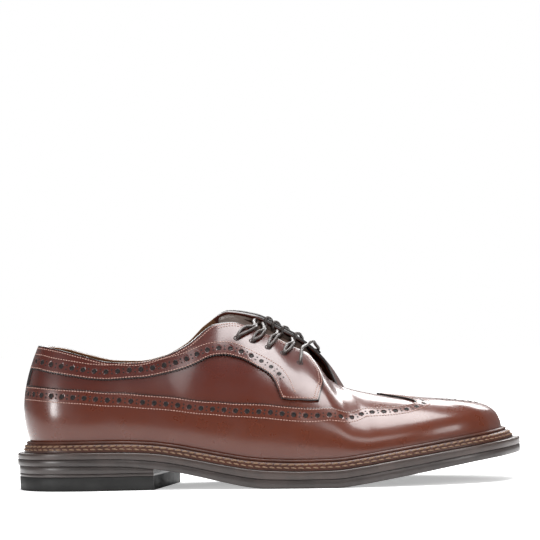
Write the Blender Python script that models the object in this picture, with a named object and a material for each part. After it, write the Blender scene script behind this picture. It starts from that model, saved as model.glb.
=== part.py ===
"""Longwing brogue, right shoe, standing on its own sole.

Sizes are in millimetres and are turned into metres when a mesh is made. While it is worked out,
X runs from the back of the sole (0) to the tip of the toe, +Y is the big-toe side, and Z is the
height above the floor. At the end everything is moved so that the origin lies under the middle
of the sole.
"""

import math

import bmesh
import bpy
import numpy as np

MM = 0.001
GAP = 0.3
LENGTH = 306.0

# Sole, side view: height of the underside and of the top of the double sole at each x
SOLE_SIDE = (
    # x, underside, top
    (0.0, 14.8, 22.2),
    (35.0, 14.8, 22.6),
    (62.0, 14.3, 22.5),
    (82.0, 12.6, 21.6),
    (98.0, 10.3, 19.5),
    (112.0, 7.3, 16.8),
    (128.0, 3.6, 13.7),
    (142.0, 0.9, 11.4),
    (152.0, 0.0, 10.5),
    (172.0, 0.0, 9.8),
    (192.0, 0.0, 10.2),
    (208.0, 1.9, 12.1),
    (224.0, 4.5, 14.6),
    (245.0, 8.0, 17.7),
    (262.0, 10.9, 20.2),
    (280.0, 13.6, 22.6),
    (295.0, 15.4, 24.4),
    (306.0, 16.5, 25.5),
)
# How far the sole's edge stands outside the foot of the upper at each x
SOLE_MARGIN = ((0.0, 10.4), (30.0, 9.2), (60.0, 8.6), (120.0, 7.6), (200.0, 8.8), (260.0, 9.2), (306.0, 10.6))
OUTSOLE_SHARE = 0.52
SOLE_LIP = 1.2
SOLE_STATIONS = 38

HEEL_BREAST_X = 92.1
HEEL_BREAST_SLOPE = 0.195
TOP_LIFT_HEIGHT = 8.3
LOWER_LIFT_HEIGHT = 10.2
# How far the heel's sides stand inside the sole's nominal edge, and at the floor
HEEL_INSET = 0.7
HEEL_FOOT_INSET = 0.9

WELT_HEIGHT = 6.3
WELT_FOOT = 5.4
WELT_LIP = 2.5
# Drop of the welt's lip from the wall out, height of its face's foot, and its last step outwards
WELT_LIP_DROP = 0.5
WELT_FACE_FOOT = 1.2
WELT_STEP = 0.9

OVERLAY = 1.3
WALL = 2.0
TONGUE_THICKNESS = 2.0
TONGUE_INSET = 0.9
INSOLE_THICKNESS = 3.0
INSOLE_INSET = 0.8

# Sections of the upper. Each row is one line from the sole up to the top edge:
# its foot (x, y), its top (x, y, z), how far it bellies out, the share of the height at which
# it starts to turn in, how far it runs in flat at the top, how much it falls over that run,
# the slope of the top line there, and how much of the line's top end is open throat.
COLUMNS = "foot_x foot_y top_x top_y top_z belly rise reach fall pitch opening".split()
HEEL_ROW = (11.6, 0.0, 15.2, 0.0, 86.5, 8.9, 0.30, 11.0, 25.0, 0.0, 0.0)
LATERAL_ROWS = (
    (15.3, -13.0, 18.4, -10.0, 86.1, 8.2, 0.30, 9.5, 25.0, 0.0, 0.0),
    (25.2, -23.0, 28.5, -17.8, 84.0, 7.5, 0.30, 7.5, 24.0, 0.0, 0.0),
    (43.0, -28.5, 43.5, -22.8, 79.9, 7.0, 0.32, 6.0, 22.0, 0.0, 0.0),
    (62.0, -29.6, 60.0, -25.8, 75.9, 7.0, 0.33, 5.0, 20.0, 0.0, 0.0),
    (82.0, -30.0, 75.0, -27.0, 75.2, 7.0, 0.35, 4.5, 19.0, 0.0, 0.0),
    (102.0, -32.0, 91.0, -26.0, 78.6, 7.5, 0.38, 4.0, 21.0, 0.0, 0.0),
    (121.0, -35.2, 105.8, -22.5, 85.2, 8.0, 0.40, 5.0, 24.0, 0.0, 0.0),
    (138.0, -39.0, 118.8, -14.0, 95.6, 9.0, 0.42, 10.0, 22.0, 0.0, 0.0),
    (154.0, -42.6, 132.5, 1.0, 104.4, 10.0, 0.45, 19.0, 12.5, -0.3, 10.2),
    (168.0, -45.3, 148.0, 7.0, 100.6, 10.5, 0.48, 23.0, 9.5, -0.5, 17.4),
    (181.0, -47.1, 163.5, 8.0, 92.4, 10.5, 0.50, 24.0, 8.5, -0.6, 17.4),
    (193.0, -48.2, 178.0, 8.0, 83.0, 10.5, 0.52, 25.0, 6.5, -0.7, 15.5),
    (205.0, -48.6, 190.0, 5.8, 64.8, 10.5, 0.52, 27.0, 3.0, -0.6, 4.0),
    (216.0, -48.2, 197.0, 5.5, 59.2, 10.0, 0.54, 28.0, 1.0, -0.32, 0.0),
    (230.0, -46.4, 197.0, 5.5, 59.2, 9.5, 0.58, 30.0, 0.0, -0.32, 0.0),
    (246.0, -43.0, 197.0, 5.5, 59.2, 8.0, 0.66, 36.0, 0.0, -0.32, 0.0),
    (262.0, -37.6, 197.0, 5.5, 59.2, 6.0, 0.78, 45.0, 0.0, -0.32, 0.0),
    (276.0, -29.8, 197.0, 5.5, 59.2, 4.0, 0.90, 54.0, 0.0, -0.32, 0.0),
    (286.5, -19.6, 197.0, 5.5, 59.2, 2.0, 1.02, 61.0, 0.0, -0.32, 0.0),
)
TOE_ROW = (294.8, 1.6, 197.0, 5.5, 59.2, 1.0, 1.04, 65.0, 0.0, -0.32, 0.0)
MEDIAL_ROWS = (
    (15.3, 13.0, 18.4, 10.0, 86.3, 8.2, 0.30, 9.5, 25.0, 0.0, 0.0),
    (25.2, 22.8, 28.5, 17.5, 84.9, 7.5, 0.30, 7.5, 24.0, 0.0, 0.0),
    (43.0, 28.0, 43.5, 22.5, 80.6, 7.0, 0.32, 6.0, 22.0, 0.0, 0.0),
    (62.0, 28.2, 60.0, 25.5, 76.6, 7.5, 0.33, 5.0, 20.0, 0.0, 0.0),
    (82.0, 25.8, 75.0, 26.8, 75.4, 9.0, 0.35, 4.5, 19.0, 0.0, 0.0),
    (102.0, 23.5, 90.0, 26.5, 78.2, 11.0, 0.38, 5.0, 21.0, 0.0, 0.0),
    (121.0, 23.8, 105.0, 24.0, 86.0, 12.0, 0.40, 6.0, 24.0, 0.0, 0.0),
    (138.0, 26.5, 117.5, 18.5, 97.8, 12.5, 0.42, 9.0, 23.0, 0.0, 0.0),
    (154.0, 30.8, 131.5, 12.5, 105.8, 12.5, 0.45, 13.0, 12.0, -0.3, 0.0),
    (168.0, 35.5, 147.5, 11.0, 103.2, 12.0, 0.48, 16.0, 8.0, -0.5, 0.0),
    (181.0, 40.0, 163.5, 10.5, 94.9, 11.0, 0.50, 19.0, 6.0, -0.6, 0.0),
    (193.0, 43.6, 178.5, 9.8, 86.2, 10.5, 0.52, 22.0, 4.0, -0.7, 0.0),
    (205.0, 46.0, 190.5, 9.2, 73.8, 10.0, 0.54, 25.0, 2.5, -0.6, 0.0),
    (216.0, 46.8, 197.0, 5.5, 59.2, 9.5, 0.56, 28.0, 1.0, -0.32, 0.0),
    (230.0, 46.3, 197.0, 5.5, 59.2, 9.0, 0.60, 31.0, 0.0, -0.32, 0.0),
    (246.0, 44.4, 197.0, 5.5, 59.2, 8.0, 0.68, 37.0, 0.0, -0.32, 0.0),
    (262.0, 39.8, 197.0, 5.5, 59.2, 6.0, 0.80, 45.0, 0.0, -0.32, 0.0),
    (276.0, 32.4, 197.0, 5.5, 59.2, 4.0, 0.92, 54.0, 0.0, -0.32, 0.0),
    (286.5, 22.4, 197.0, 5.5, 59.2, 2.0, 1.03, 61.0, 0.0, -0.32, 0.0),
)
SIDE_ROWS = len(LATERAL_ROWS)
FIRST_TOE_ROW = 14
# Edges of the overlays: the row of the table above (0 at the heel, 20 at the toe) and the share
# of that row's line at which the edge crosses it
WING_EDGE = (
    # row, share
    (0.0, 0.664),
    (2.0, 0.666),
    (4.0, 0.69),
    (5.0, 0.664),
    (6.0, 0.602),
    (7.0, 0.51),
    (8.0, 0.405),
    (9.0, 0.33),
    (10.0, 0.319),
    (11.0, 0.333),
    (12.0, 0.372),
    (13.0, 0.462),
    (14.0, 0.535),
    (15.0, 0.525),
    (16.0, 0.52),
    (17.0, 0.552),
    (18.0, 0.715),
    (19.0, 0.82),
    (20.0, 0.88),
)
TRIM_EDGE = (
    # row, share
    (0.0, 0.805),
    (1.0, 0.802),
    (2.0, 0.788),
    (3.0, 0.786),
    (4.0, 0.812),
    (5.0, 0.831),
    (6.0, 0.829),
    (7.0, 0.817),
    (7.5, 0.796),
    (8.1, 0.738),
    (8.62, 0.626),
    (8.98, 0.556),
    (9.38, 0.512),
    (9.6, 0.485),
    (9.72, 0.445),
    (9.79, 0.395),
    (9.87, 0.357),
    (10.14, 0.354),
    (10.7, 0.366),
    (11.3, 0.38),
    (12.2, 0.41),
)
# Front edge of the eyelet tab: the share of the line, and the row that the edge has reached
TAB_FRONT = ((0.35, 11.4), (0.47, 11.75), (0.58, 12.05), (0.66, 12.1), (0.76, 11.95), (0.90, 11.5))
TAB_ROW = 11.8
TAB_BLEND_ROWS = 1.6


def slopes_of(t, y):
    """Slopes at the knots of a curve that never overshoots its own values."""
    step = np.diff(t)
    rate = np.diff(y) / step
    slope = np.zeros(len(t))
    slope[0] = rate[0]
    slope[-1] = rate[-1]
    for i in range(1, len(t) - 1):
        if rate[i - 1] * rate[i] > 0.0:
            a = 2.0 * step[i] + step[i - 1]
            b = step[i] + 2.0 * step[i - 1]
            slope[i] = (a + b) / (a / rate[i - 1] + b / rate[i])
    return slope


def smooth_slopes(t, y):
    """Slopes of a free, rounder curve through the knots."""
    slope = np.gradient(y, t)
    return slope


def hermite(t, y, slope, at):
    """The curve with those slopes at the knots, read at one or more places."""
    at = np.asarray(at, dtype=float)
    i = np.clip(np.searchsorted(t, at) - 1, 0, len(t) - 2)
    step = t[i + 1] - t[i]
    u = (at - t[i]) / step
    low = y[i] * (1.0 + 2.0 * u) * (1.0 - u) ** 2 + slope[i] * step * u * (1.0 - u) ** 2
    high = y[i + 1] * u * u * (3.0 - 2.0 * u) - slope[i + 1] * step * u * u * (1.0 - u)
    return low + high


class Curve:
    """A smooth curve through a short table of (place, value) rows."""

    def __init__(self, table, round_off=False):
        rows = np.array(table, dtype=float)
        self.t = rows[:, 0]
        self.y = rows[:, 1]
        make = smooth_slopes if round_off else slopes_of
        self.slope = make(self.t, self.y)

    def __call__(self, at):
        return hermite(self.t, self.y, self.slope, np.clip(at, self.t[0], self.t[-1]))


sole_under = Curve([(x, low) for x, low, top in SOLE_SIDE])
sole_over = Curve([(x, top) for x, low, top in SOLE_SIDE])
sole_margin = Curve(SOLE_MARGIN, round_off=True)


def station_places(count):
    """Places along the sole: closer together at the two round ends, and at the flat spot's ends."""
    places = []
    for i in range(count + 1):
        share = i / count
        places.append(share - 0.9 * math.sin(2.0 * math.pi * share) / (2.0 * math.pi))
    return np.array(places)


STATIONS = np.sort(np.append(station_places(SOLE_STATIONS) * LENGTH, [152.0, 192.0]))
STATION_UNDER = sole_under(STATIONS)
STATION_OVER = sole_over(STATIONS)


def under(x):
    return np.interp(x, STATIONS, STATION_UNDER)


def over(x):
    return np.interp(x, STATIONS, STATION_OVER)


def parting(x):
    """Height of the joint between outsole and midsole."""
    return under(x) + OUTSOLE_SHARE * (over(x) - under(x))


class Last:
    """The shape of the upper: lines that run from its foot to its top edge, all round the shoe.

    A place on it is (turn, rise): turn goes 0 at the heel, through the lateral side, 1 at the toe,
    through the medial side and back to 2 at the heel. Rise goes from 0 at the foot to 1 at the top.
    """

    def __init__(self):
        rows = [HEEL_ROW]
        rows += list(LATERAL_ROWS)
        rows += [TOE_ROW]
        rows += list(reversed(MEDIAL_ROWS))
        self.rows = np.array(rows, dtype=float)
        count = len(rows)
        self.turns = np.arange(count) / (SIDE_ROWS + 1.0)
        self.count = count
        wrapped = np.vstack((self.rows[-4:], self.rows, self.rows[:4]))
        knots = np.arange(-4, count + 4) / (SIDE_ROWS + 1.0)
        self.knots = knots
        self.values = wrapped
        self.slopes = np.zeros_like(wrapped)
        for column, name in enumerate(COLUMNS):
            make = slopes_of if name.startswith("top") or name in ("opening", "fall") else smooth_slopes
            self.slopes[:, column] = make(knots, wrapped[:, column])

    def row(self, turn):
        """Every column of the table at one place round the shoe."""
        turn = turn % 2.0
        values = []
        for column in range(len(COLUMNS)):
            values.append(hermite(self.knots, self.values[:, column], self.slopes[:, column], turn))
        return dict(zip(COLUMNS, (float(v) for v in values)))

    def outward(self, turn):
        """Direction square to the footprint, away from the shoe."""
        a = self.row(turn - 0.004)
        b = self.row(turn + 0.004)
        along = np.array((b["foot_x"] - a["foot_x"], b["foot_y"] - a["foot_y"]))
        along /= np.linalg.norm(along)
        return np.array((along[1], -along[0]))

    def line(self, turn):
        """The four points that steer one line of the upper."""
        r = self.row(turn)
        out = self.outward(turn)
        foot = np.array((r["foot_x"], r["foot_y"], float(over(r["foot_x"])) + GAP))
        top = np.array((r["top_x"], r["top_y"], r["top_z"]))
        height = top[2] - foot[2]
        low = foot + np.array((out[0] * r["belly"], out[1] * r["belly"], r["rise"] * height))
        away = foot[:2] - top[:2]
        away /= np.linalg.norm(away)
        reach = away * r["reach"]
        high = top + np.array((reach[0], reach[1], r["pitch"] * reach[0] - r["fall"]))
        return foot, low, high, top

    def point(self, turn, rise):
        foot, low, high, top = self.line(turn)
        u = 1.0 - rise
        return foot * u**3 + low * 3.0 * u * u * rise + high * 3.0 * u * rise * rise + top * rise**3

    def normal(self, turn, rise):
        rise = min(max(rise, 0.004), 0.985)
        around = self.point(turn + 0.003, rise) - self.point(turn - 0.003, rise)
        up = self.point(turn, rise + 0.003) - self.point(turn, rise - 0.003)
        across = np.cross(around, up)
        return across / np.linalg.norm(across)

    def at(self, turn, rise, lift=0.0):
        """A point of the upper, lifted off its surface along the normal."""
        place = self.point(turn, rise)
        if lift != 0.0:
            place = place + self.normal(turn, rise) * lift
        return place

    def rise_at_height(self, turn, height):
        """The rise at which a line has climbed that far above its foot."""
        low = 0.0
        high = 1.0
        floor = self.point(turn, 0.0)[2]
        for _ in range(24):
            middle = 0.5 * (low + high)
            if self.point(turn, middle)[2] - floor < height:
                low = middle
            else:
                high = middle
        return 0.5 * (low + high)

    def rise_before_top(self, turn, distance):
        """The rise at which a line is that far from its top end."""
        if distance <= 0.0:
            return 1.0
        top = self.point(turn, 1.0)
        low = 0.4
        high = 1.0
        for _ in range(24):
            middle = 0.5 * (low + high)
            if np.linalg.norm(self.point(turn, middle) - top) > distance:
                low = middle
            else:
                high = middle
        return 0.5 * (low + high)

    def brim(self, turn):
        """The rise of the collar's or facing's edge."""
        return self.rise_before_top(turn, self.row(turn)["opening"])


wing_edge = Curve(WING_EDGE)
trim_edge = Curve(TRIM_EDGE)
tab_front = Curve(TAB_FRONT)

BASE_LIFT = -OVERLAY
LINING_LIFT = -(OVERLAY + WALL)
OVERLAY_UNDERSIDE = -(OVERLAY - 0.5)


def row_of(turn):
    """Row number of a place round the shoe, the same on both sides."""
    turn = turn % 2.0
    side = turn if turn <= 1.0 else 2.0 - turn
    return side * (SIDE_ROWS + 1.0)


def turn_of(row, side):
    """Place round the shoe of a row number, on the lateral (-1) or medial (+1) side."""
    turn = row / (SIDE_ROWS + 1.0)
    return turn if side < 0 else 2.0 - turn


def clear_scene():
    for thing in list(bpy.data.objects):
        bpy.data.objects.remove(thing, do_unlink=True)


def material(name, colour, roughness, metallic=0.0):
    made = bpy.data.materials.new(name)
    made.use_nodes = True
    shader = made.node_tree.nodes["Principled BSDF"]
    shader.inputs["Base Color"].default_value = (*colour, 1.0)
    shader.inputs["Roughness"].default_value = roughness
    shader.inputs["Metallic"].default_value = metallic
    return made


def origin_shift():
    """Middle of the sole's outline, which the whole shoe is moved by."""
    ring = sole_ring(SOLE_LIP)
    low = ring.min(axis=0)
    high = ring.max(axis=0)
    return (low + high) / 2.0


def add_object(name, points, faces, look):
    """An object from points in the working frame, with its faces turned outwards."""
    mesh = bpy.data.meshes.new(name)
    moved = []
    for p in points:
        moved.append(((p[0] - SHIFT[0]) * MM, (p[1] - SHIFT[1]) * MM, p[2] * MM))
    mesh.from_pydata(moved, [], faces)
    tidy = bmesh.new()
    tidy.from_mesh(mesh)
    bmesh.ops.triangulate(tidy, faces=tidy.faces[:], quad_method="SHORT_EDGE")
    bmesh.ops.recalc_face_normals(tidy, faces=tidy.faces[:])
    tidy.to_mesh(mesh)
    tidy.free()
    mesh.shade_smooth()
    mesh.set_sharp_from_angle(angle=math.radians(35.0))
    mesh.materials.append(look)
    made = bpy.data.objects.new(name, mesh)
    bpy.context.scene.collection.objects.link(made)
    return made


def thick_sheet(name, outer, inner, faces, look):
    """A closed solid between two sheets of points that share the same faces."""
    count = len(outer)
    points = list(outer) + list(inner)
    used = {}
    for face in faces:
        for a, b in zip(face, face[1:] + face[:1]):
            used[(a, b)] = True
    solid = list(faces)
    for face in faces:
        solid.append(tuple(i + count for i in reversed(face)))
    for a, b in used:
        if (b, a) not in used:
            solid.append((b, a, a + count, b + count))
    return add_object(name, points, solid, look)


def sole_ring(extra, count=400):
    """The sole's outline at one distance from its nominal edge, as points round the shoe."""
    ring = []
    for i in range(count):
        turn = 2.0 * i / count
        row = LAST.row(turn)
        out = LAST.outward(turn)
        margin = float(sole_margin(row["foot_x"])) + extra
        ring.append((row["foot_x"] + out[0] * margin, row["foot_y"] + out[1] * margin))
    return np.array(ring)


def half_outlines(ring):
    """The lateral and the medial half of an outline, both from the heel to the toe."""
    start = int(np.argmin(ring[:, 0]))
    ring = np.roll(ring, -start, axis=0)
    end = int(np.argmax(ring[:, 0]))
    lateral = ring[: end + 1]
    medial = np.vstack((ring[end:], ring[:1]))[::-1]
    return lateral, medial


def ladder(ring, start, stop_lateral, stop_medial, steps):
    """Pairs of points, one on each side of an outline, from its back end to its front."""
    lateral, medial = half_outlines(ring)
    back = lateral[0][0]
    pairs = []
    for share in steps:
        x = start + share * (stop_lateral - start)
        far = start + share * (stop_medial - start)
        x = max(x, back)
        far = max(far, back)
        near_point = (x, float(np.interp(x, lateral[:, 0], lateral[:, 1])))
        far_point = (far, float(np.interp(far, medial[:, 0], medial[:, 1])))
        pairs.append((near_point, far_point))
    return pairs


def plate(name, levels, look):
    """A flat-sided piece of the sole: levels are (pairs, height function) from top to bottom."""
    rungs = len(levels[0][0])
    points = []
    for pairs, height in levels:
        for near, far in pairs:
            points.append((near[0], near[1], float(height(near[0]))))
            points.append((far[0], far[1], float(height(far[0]))))
    faces = []
    size = 2 * rungs
    for i in range(rungs - 1):
        a = 2 * i
        faces.append((a, a + 2, a + 3, a + 1))
        b = a + size * (len(levels) - 1)
        faces.append((b, b + 1, b + 3, b + 2))
    for level in range(len(levels) - 1):
        top = level * size
        low = top + size
        for i in range(rungs - 1):
            a = 2 * i
            faces.append((top + a, low + a, low + a + 2, top + a + 2))
            faces.append((top + a + 1, top + a + 3, low + a + 3, low + a + 1))
        faces.append((top, top + 1, low + 1, low))
        b = size - 2
        faces.append((top + b, low + b, low + b + 1, top + b + 1))
    return add_object(name, points, faces, look)


def full_ladder(extra):
    """Rungs across the whole sole at the stations; its two ends are short and nearly closed."""
    ring = sole_ring(extra)
    back = ring[:, 0].min()
    front = ring[:, 0].max()
    lateral, medial = half_outlines(ring)
    pairs = []
    for x in STATIONS:
        inside = min(max(x, back + 0.25), front - 0.25)
        near = float(np.interp(inside, lateral[:, 0], lateral[:, 1]))
        far = float(np.interp(inside, medial[:, 0], medial[:, 1]))
        pairs.append(((inside, near), (inside, far)))
    return pairs


def make_outsole(look):
    levels = (
        (full_ladder(0.0), lambda x: parting(x) - GAP / 2.0),
        (full_ladder(0.6), lambda x: 0.35 * parting(x) + 0.65 * under(x)),
        (full_ladder(0.3), under),
    )
    return plate("outsole", levels, look)


def make_midsole(look):
    levels = (
        (full_ladder(-1.0), over),
        (full_ladder(-0.1), lambda x: over(x) - 1.0),
        (full_ladder(0.2), lambda x: parting(x) + GAP / 2.0),
    )
    return plate("midsole", levels, look)


def heel_pairs(extra):
    ring = sole_ring(extra)
    lateral, medial = half_outlines(ring)
    steps = []
    count = 15
    for i in range(count + 1):
        steps.append(1.0 - math.cos(0.5 * math.pi * i / count))
    start = ring[:, 0].min() + 0.25
    near_y = float(np.interp(HEEL_BREAST_X, lateral[:, 0], lateral[:, 1]))
    far_y = float(np.interp(HEEL_BREAST_X, medial[:, 0], medial[:, 1]))
    near_stop = HEEL_BREAST_X + HEEL_BREAST_SLOPE * near_y
    far_stop = HEEL_BREAST_X + HEEL_BREAST_SLOPE * far_y
    return ladder(ring, start, near_stop, far_stop, steps)


def make_heel(look, rubber):
    """Two leather lifts under the sole and the top lift that stands on the floor."""
    sides = heel_pairs(-HEEL_INSET)
    foot = heel_pairs(-HEEL_FOOT_INSET)
    plate(
        "heel_lift_upper",
        ((sides, lambda x: under(x) - GAP), (sides, lambda x: LOWER_LIFT_HEIGHT)),
        look,
    )
    plate(
        "heel_lift_lower",
        ((sides, lambda x: LOWER_LIFT_HEIGHT - GAP), (sides, lambda x: TOP_LIFT_HEIGHT)),
        look,
    )
    plate(
        "heel_top_lift",
        ((sides, lambda x: TOP_LIFT_HEIGHT - GAP), (foot, lambda x: 0.0)),
        rubber,
    )


COLUMNS_PER_ROW = 2
WING_SHARES = (0.0, 0.14, 0.3, 0.5, 0.74, 1.0)
ROUND = []
for step in range(2 * (SIDE_ROWS + 1) * COLUMNS_PER_ROW):
    ROUND.append(step / ((SIDE_ROWS + 1.0) * COLUMNS_PER_ROW))


def ring_solid(name, profile, look):
    """A closed ring: profile(turn) gives the corners of its section, in order."""
    points = []
    corners = 0
    for turn in ROUND:
        section = profile(turn)
        corners = len(section)
        points.extend(section)
    faces = []
    total = len(ROUND)
    for i in range(total):
        a = i * corners
        b = ((i + 1) % total) * corners
        for c in range(corners):
            d = (c + 1) % corners
            faces.append((a + c, a + d, b + d, b + c))
    return add_object(name, points, faces, look)


def welt_profile(turn):
    """Section of the reverse welt: a lip that stands against the upper and a sloping face."""
    foot = LAST.point(turn, 0.0)
    out = LAST.outward(turn)
    wall_low = LAST.at(turn, LAST.rise_at_height(turn, 0.2), GAP)
    wall_high = LAST.at(turn, LAST.rise_at_height(turn, WELT_HEIGHT - GAP), GAP)
    lip = wall_high[:2] + out * WELT_LIP
    face = foot[:2] + out * WELT_FOOT
    edge = foot[:2] + out * (WELT_FOOT + WELT_STEP)
    corners = []
    for place, height in (
        (wall_low, 0.0),
        (wall_high, WELT_HEIGHT),
        (lip, WELT_HEIGHT - WELT_LIP_DROP),
        (face, WELT_FACE_FOOT),
        (edge, 0.0),
    ):
        corners.append((place[0], place[1], float(over(place[0])) + GAP + height))
    return corners


def in_fan(row):
    """True where the lines of the toe all end in one point on the vamp."""
    return row >= FIRST_TOE_ROW - 0.01


def sheet_rows(turn):
    """Rises at which the upper's lines are cut, from foot to brim."""
    wing = float(wing_edge(row_of(turn)))
    brim = LAST.brim(turn)
    rises = []
    for share in WING_SHARES:
        rises.append(wing * share)
    if in_fan(row_of(turn)):
        for share in (0.3, 0.6, 0.8, 1.0):
            rises.append(wing + (brim - wing) * share)
        return rises
    trim = max(float(trim_edge(row_of(turn))), wing + 0.012)
    rises.append(trim)
    for share in (0.34, 0.67, 1.0):
        rises.append(trim + (brim - trim) * share)
    return rises


def upper_sheet(lift):
    """Points of one face of the upper, all round, and the faces between them."""
    points = []
    index = []
    pole = None
    for turn in ROUND:
        column = []
        rises = sheet_rows(turn)
        for j, rise in enumerate(rises):
            at_pole = in_fan(row_of(turn)) and j == len(rises) - 1
            if at_pole and pole is not None:
                column.append(pole)
                continue
            if at_pole:
                pole = len(points)
                place = LAST.at(1.0, 1.0, lift)
            else:
                place = LAST.at(turn, rise, lift)
            if j == 0:
                place[2] = float(over(place[0])) + GAP
            column.append(len(points))
            points.append(place)
        index.append(column)
    faces = []
    total = len(ROUND)
    for i in range(total):
        a = index[i]
        b = index[(i + 1) % total]
        for j in range(len(a) - 1):
            corners = [a[j], b[j], b[j + 1], a[j + 1]]
            face = []
            for corner in corners:
                if corner not in face:
                    face.append(corner)
            faces.append(tuple(face))
    return points, faces


def make_upper(look):
    outer, faces = upper_sheet(BASE_LIFT)
    inner = upper_sheet(LINING_LIFT)[0]
    return thick_sheet("upper", outer, inner, faces, look)


def make_wing(look):
    """The long wing: toe cap and foxing in one band round the foot of the upper."""
    shares = WING_SHARES
    outer = []
    inner = []
    for turn in ROUND:
        wing = float(wing_edge(row_of(turn)))
        for share in shares:
            top = LAST.at(turn, wing * share, 0.0)
            low = LAST.at(turn, wing * share, OVERLAY_UNDERSIDE)
            if share == 0.0:
                top[2] = float(over(top[0])) + GAP
                low[2] = float(over(low[0])) + GAP
            outer.append(top)
            inner.append(low)
    faces = []
    total = len(ROUND)
    size = len(shares)
    for i in range(total):
        a = i * size
        b = ((i + 1) % total) * size
        for j in range(size - 1):
            faces.append((a + j, b + j, b + j + 1, a + j + 1))
    return thick_sheet("wing_overlay", outer, inner, faces, look)


def trim_place(row, side, share):
    """Turn and rise of a point of the quarter trim, its front end following the tab's edge."""
    turn = turn_of(row, side)
    brim = LAST.brim(turn)
    low = float(trim_edge(row))
    rise = low + (brim - low) * share
    pull = min(max((row - (TAB_ROW - TAB_BLEND_ROWS)) / TAB_BLEND_ROWS, 0.0), 1.0)
    shifted = row + (float(tab_front(rise)) - TAB_ROW) * pull
    return turn_of(shifted, side), rise


def make_trim(look):
    """Collar strip and eyelet facings in one band, from one tab round the heel to the other."""
    steps = int(TAB_ROW * COLUMNS_PER_ROW)
    rows = [TAB_ROW]
    rows += [i / COLUMNS_PER_ROW for i in range(steps, -1, -1)]
    places = [(row, -1) for row in rows] + [(row, 1) for row in reversed(rows[:-1])]
    shares = (0.0, 0.34, 0.67, 1.0)
    outer = []
    inner = []
    for row, side in places:
        for share in shares:
            turn, rise = trim_place(row, side, share)
            outer.append(LAST.at(turn, rise, 0.0))
            inner.append(LAST.at(turn, rise, OVERLAY_UNDERSIDE))
    faces = []
    size = len(shares)
    for i in range(len(places) - 1):
        a = i * size
        b = a + size
        for j in range(size - 1):
            faces.append((a + j, a + j + 1, b + j + 1, b + j))
    return thick_sheet("quarter_trim", outer, inner, faces, look)


def make_insole(look):
    """The inner sole, inside the foot of the upper."""
    def ring_at(lift, height):
        ring = []
        for i in range(160):
            turn = 2.0 * i / 160
            place = LAST.at(turn, LAST.rise_at_height(turn, height), lift)
            ring.append((place[0], place[1]))
        return np.array(ring)

    levels = []
    low_ring = ring_at(LINING_LIFT - INSOLE_INSET, 0.2)
    high_ring = ring_at(LINING_LIFT - INSOLE_INSET, INSOLE_THICKNESS)
    back = low_ring[:, 0].min() + 0.3
    front = low_ring[:, 0].max() - 0.3
    inside = [x for x in STATIONS if back + 1.0 < x < front - 1.0]
    places = np.array([back] + inside + [front])
    for ring, lift in ((high_ring, GAP + INSOLE_THICKNESS), (low_ring, GAP)):
        lateral, medial = half_outlines(ring)
        pairs = []
        for x in places:
            near = float(np.interp(x, lateral[:, 0], lateral[:, 1]))
            far = float(np.interp(x, medial[:, 0], medial[:, 1]))
            pairs.append(((x, near), (x, far)))
        levels.append((pairs, lambda x, lift=lift: over(x) + lift))
    return plate("insole", levels, look)


TONGUE_ROWS = (8.55, 9.0, 9.5, 10.0, 10.5, 11.0, 11.5, 12.0, 12.4, 12.8, 13.2)
TONGUE_LATERAL = (0.62, 0.70, 0.78, 0.86, 0.93, 1.0)
TONGUE_MEDIAL = (0.985, 0.93, 0.86, 0.80)


def make_tongue(look):
    """The tongue, under both facings and across the throat between them."""
    outer = []
    inner = []
    size = len(TONGUE_LATERAL) + len(TONGUE_MEDIAL)
    top_lift = LINING_LIFT - TONGUE_INSET
    low_lift = top_lift - TONGUE_THICKNESS
    for row in TONGUE_ROWS:
        for rise in TONGUE_LATERAL:
            turn = turn_of(row, -1)
            outer.append(LAST.at(turn, rise, top_lift))
            inner.append(LAST.at(turn, rise, low_lift))
        for rise in TONGUE_MEDIAL:
            turn = turn_of(row, 1)
            outer.append(LAST.at(turn, rise, top_lift))
            inner.append(LAST.at(turn, rise, low_lift))
    faces = []
    for i in range(len(TONGUE_ROWS) - 1):
        a = i * size
        b = a + size
        for j in range(size - 1):
            faces.append((a + j, a + j + 1, b + j + 1, b + j))
    return thick_sheet("tongue", outer, inner, faces, look)


LACE_RADIUS = 1.35
LACE_SIDES = 8
LACE_SEGMENTS = 7
EYELET_BELOW_BRIM = 11.0
CROSSING_LIFT = 2.3
CROSSING_ARCH = 1.4
BAR_ARCH = 0.5
# Row numbers of the five eyelets on each facing, from the collar down
EYELET_ROWS = (8.78, 9.32, 9.88, 10.48, 11.12)


def eyelet_rise(turn):
    return LAST.rise_before_top(turn, LAST.row(turn)["opening"] + EYELET_BELOW_BRIM)


def over_facing(row, side, arch):
    """Two lace points: over the facing's edge, and on the facing just above its eyelet."""
    lie = LACE_RADIUS + GAP
    turn = turn_of(row, side)
    brim = LAST.brim(turn)
    hole = eyelet_rise(turn)
    edge = LAST.at(turn, brim - 0.02, lie + arch)
    half = LAST.at(turn, 0.5 * (brim + hole), lie + arch)
    end = LAST.at(turn, hole, lie + 0.8 * arch)
    return edge, half, end


def in_gap(row, side):
    """A lace point in the throat beside a facing's edge, clear of the tongue."""
    turn = turn_of(row, side)
    place = LAST.at(turn, LAST.brim(turn) - 0.01, -1.1)
    return place + np.array((0.0, -side * (LACE_RADIUS + 2.0), 0.0))


def gap_middle(row, lift):
    near = LAST.at(turn_of(row, -1), LAST.brim(turn_of(row, -1)), lift)
    far = LAST.at(turn_of(row, 1), 0.985, lift)
    return 0.5 * (near + far)


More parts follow.
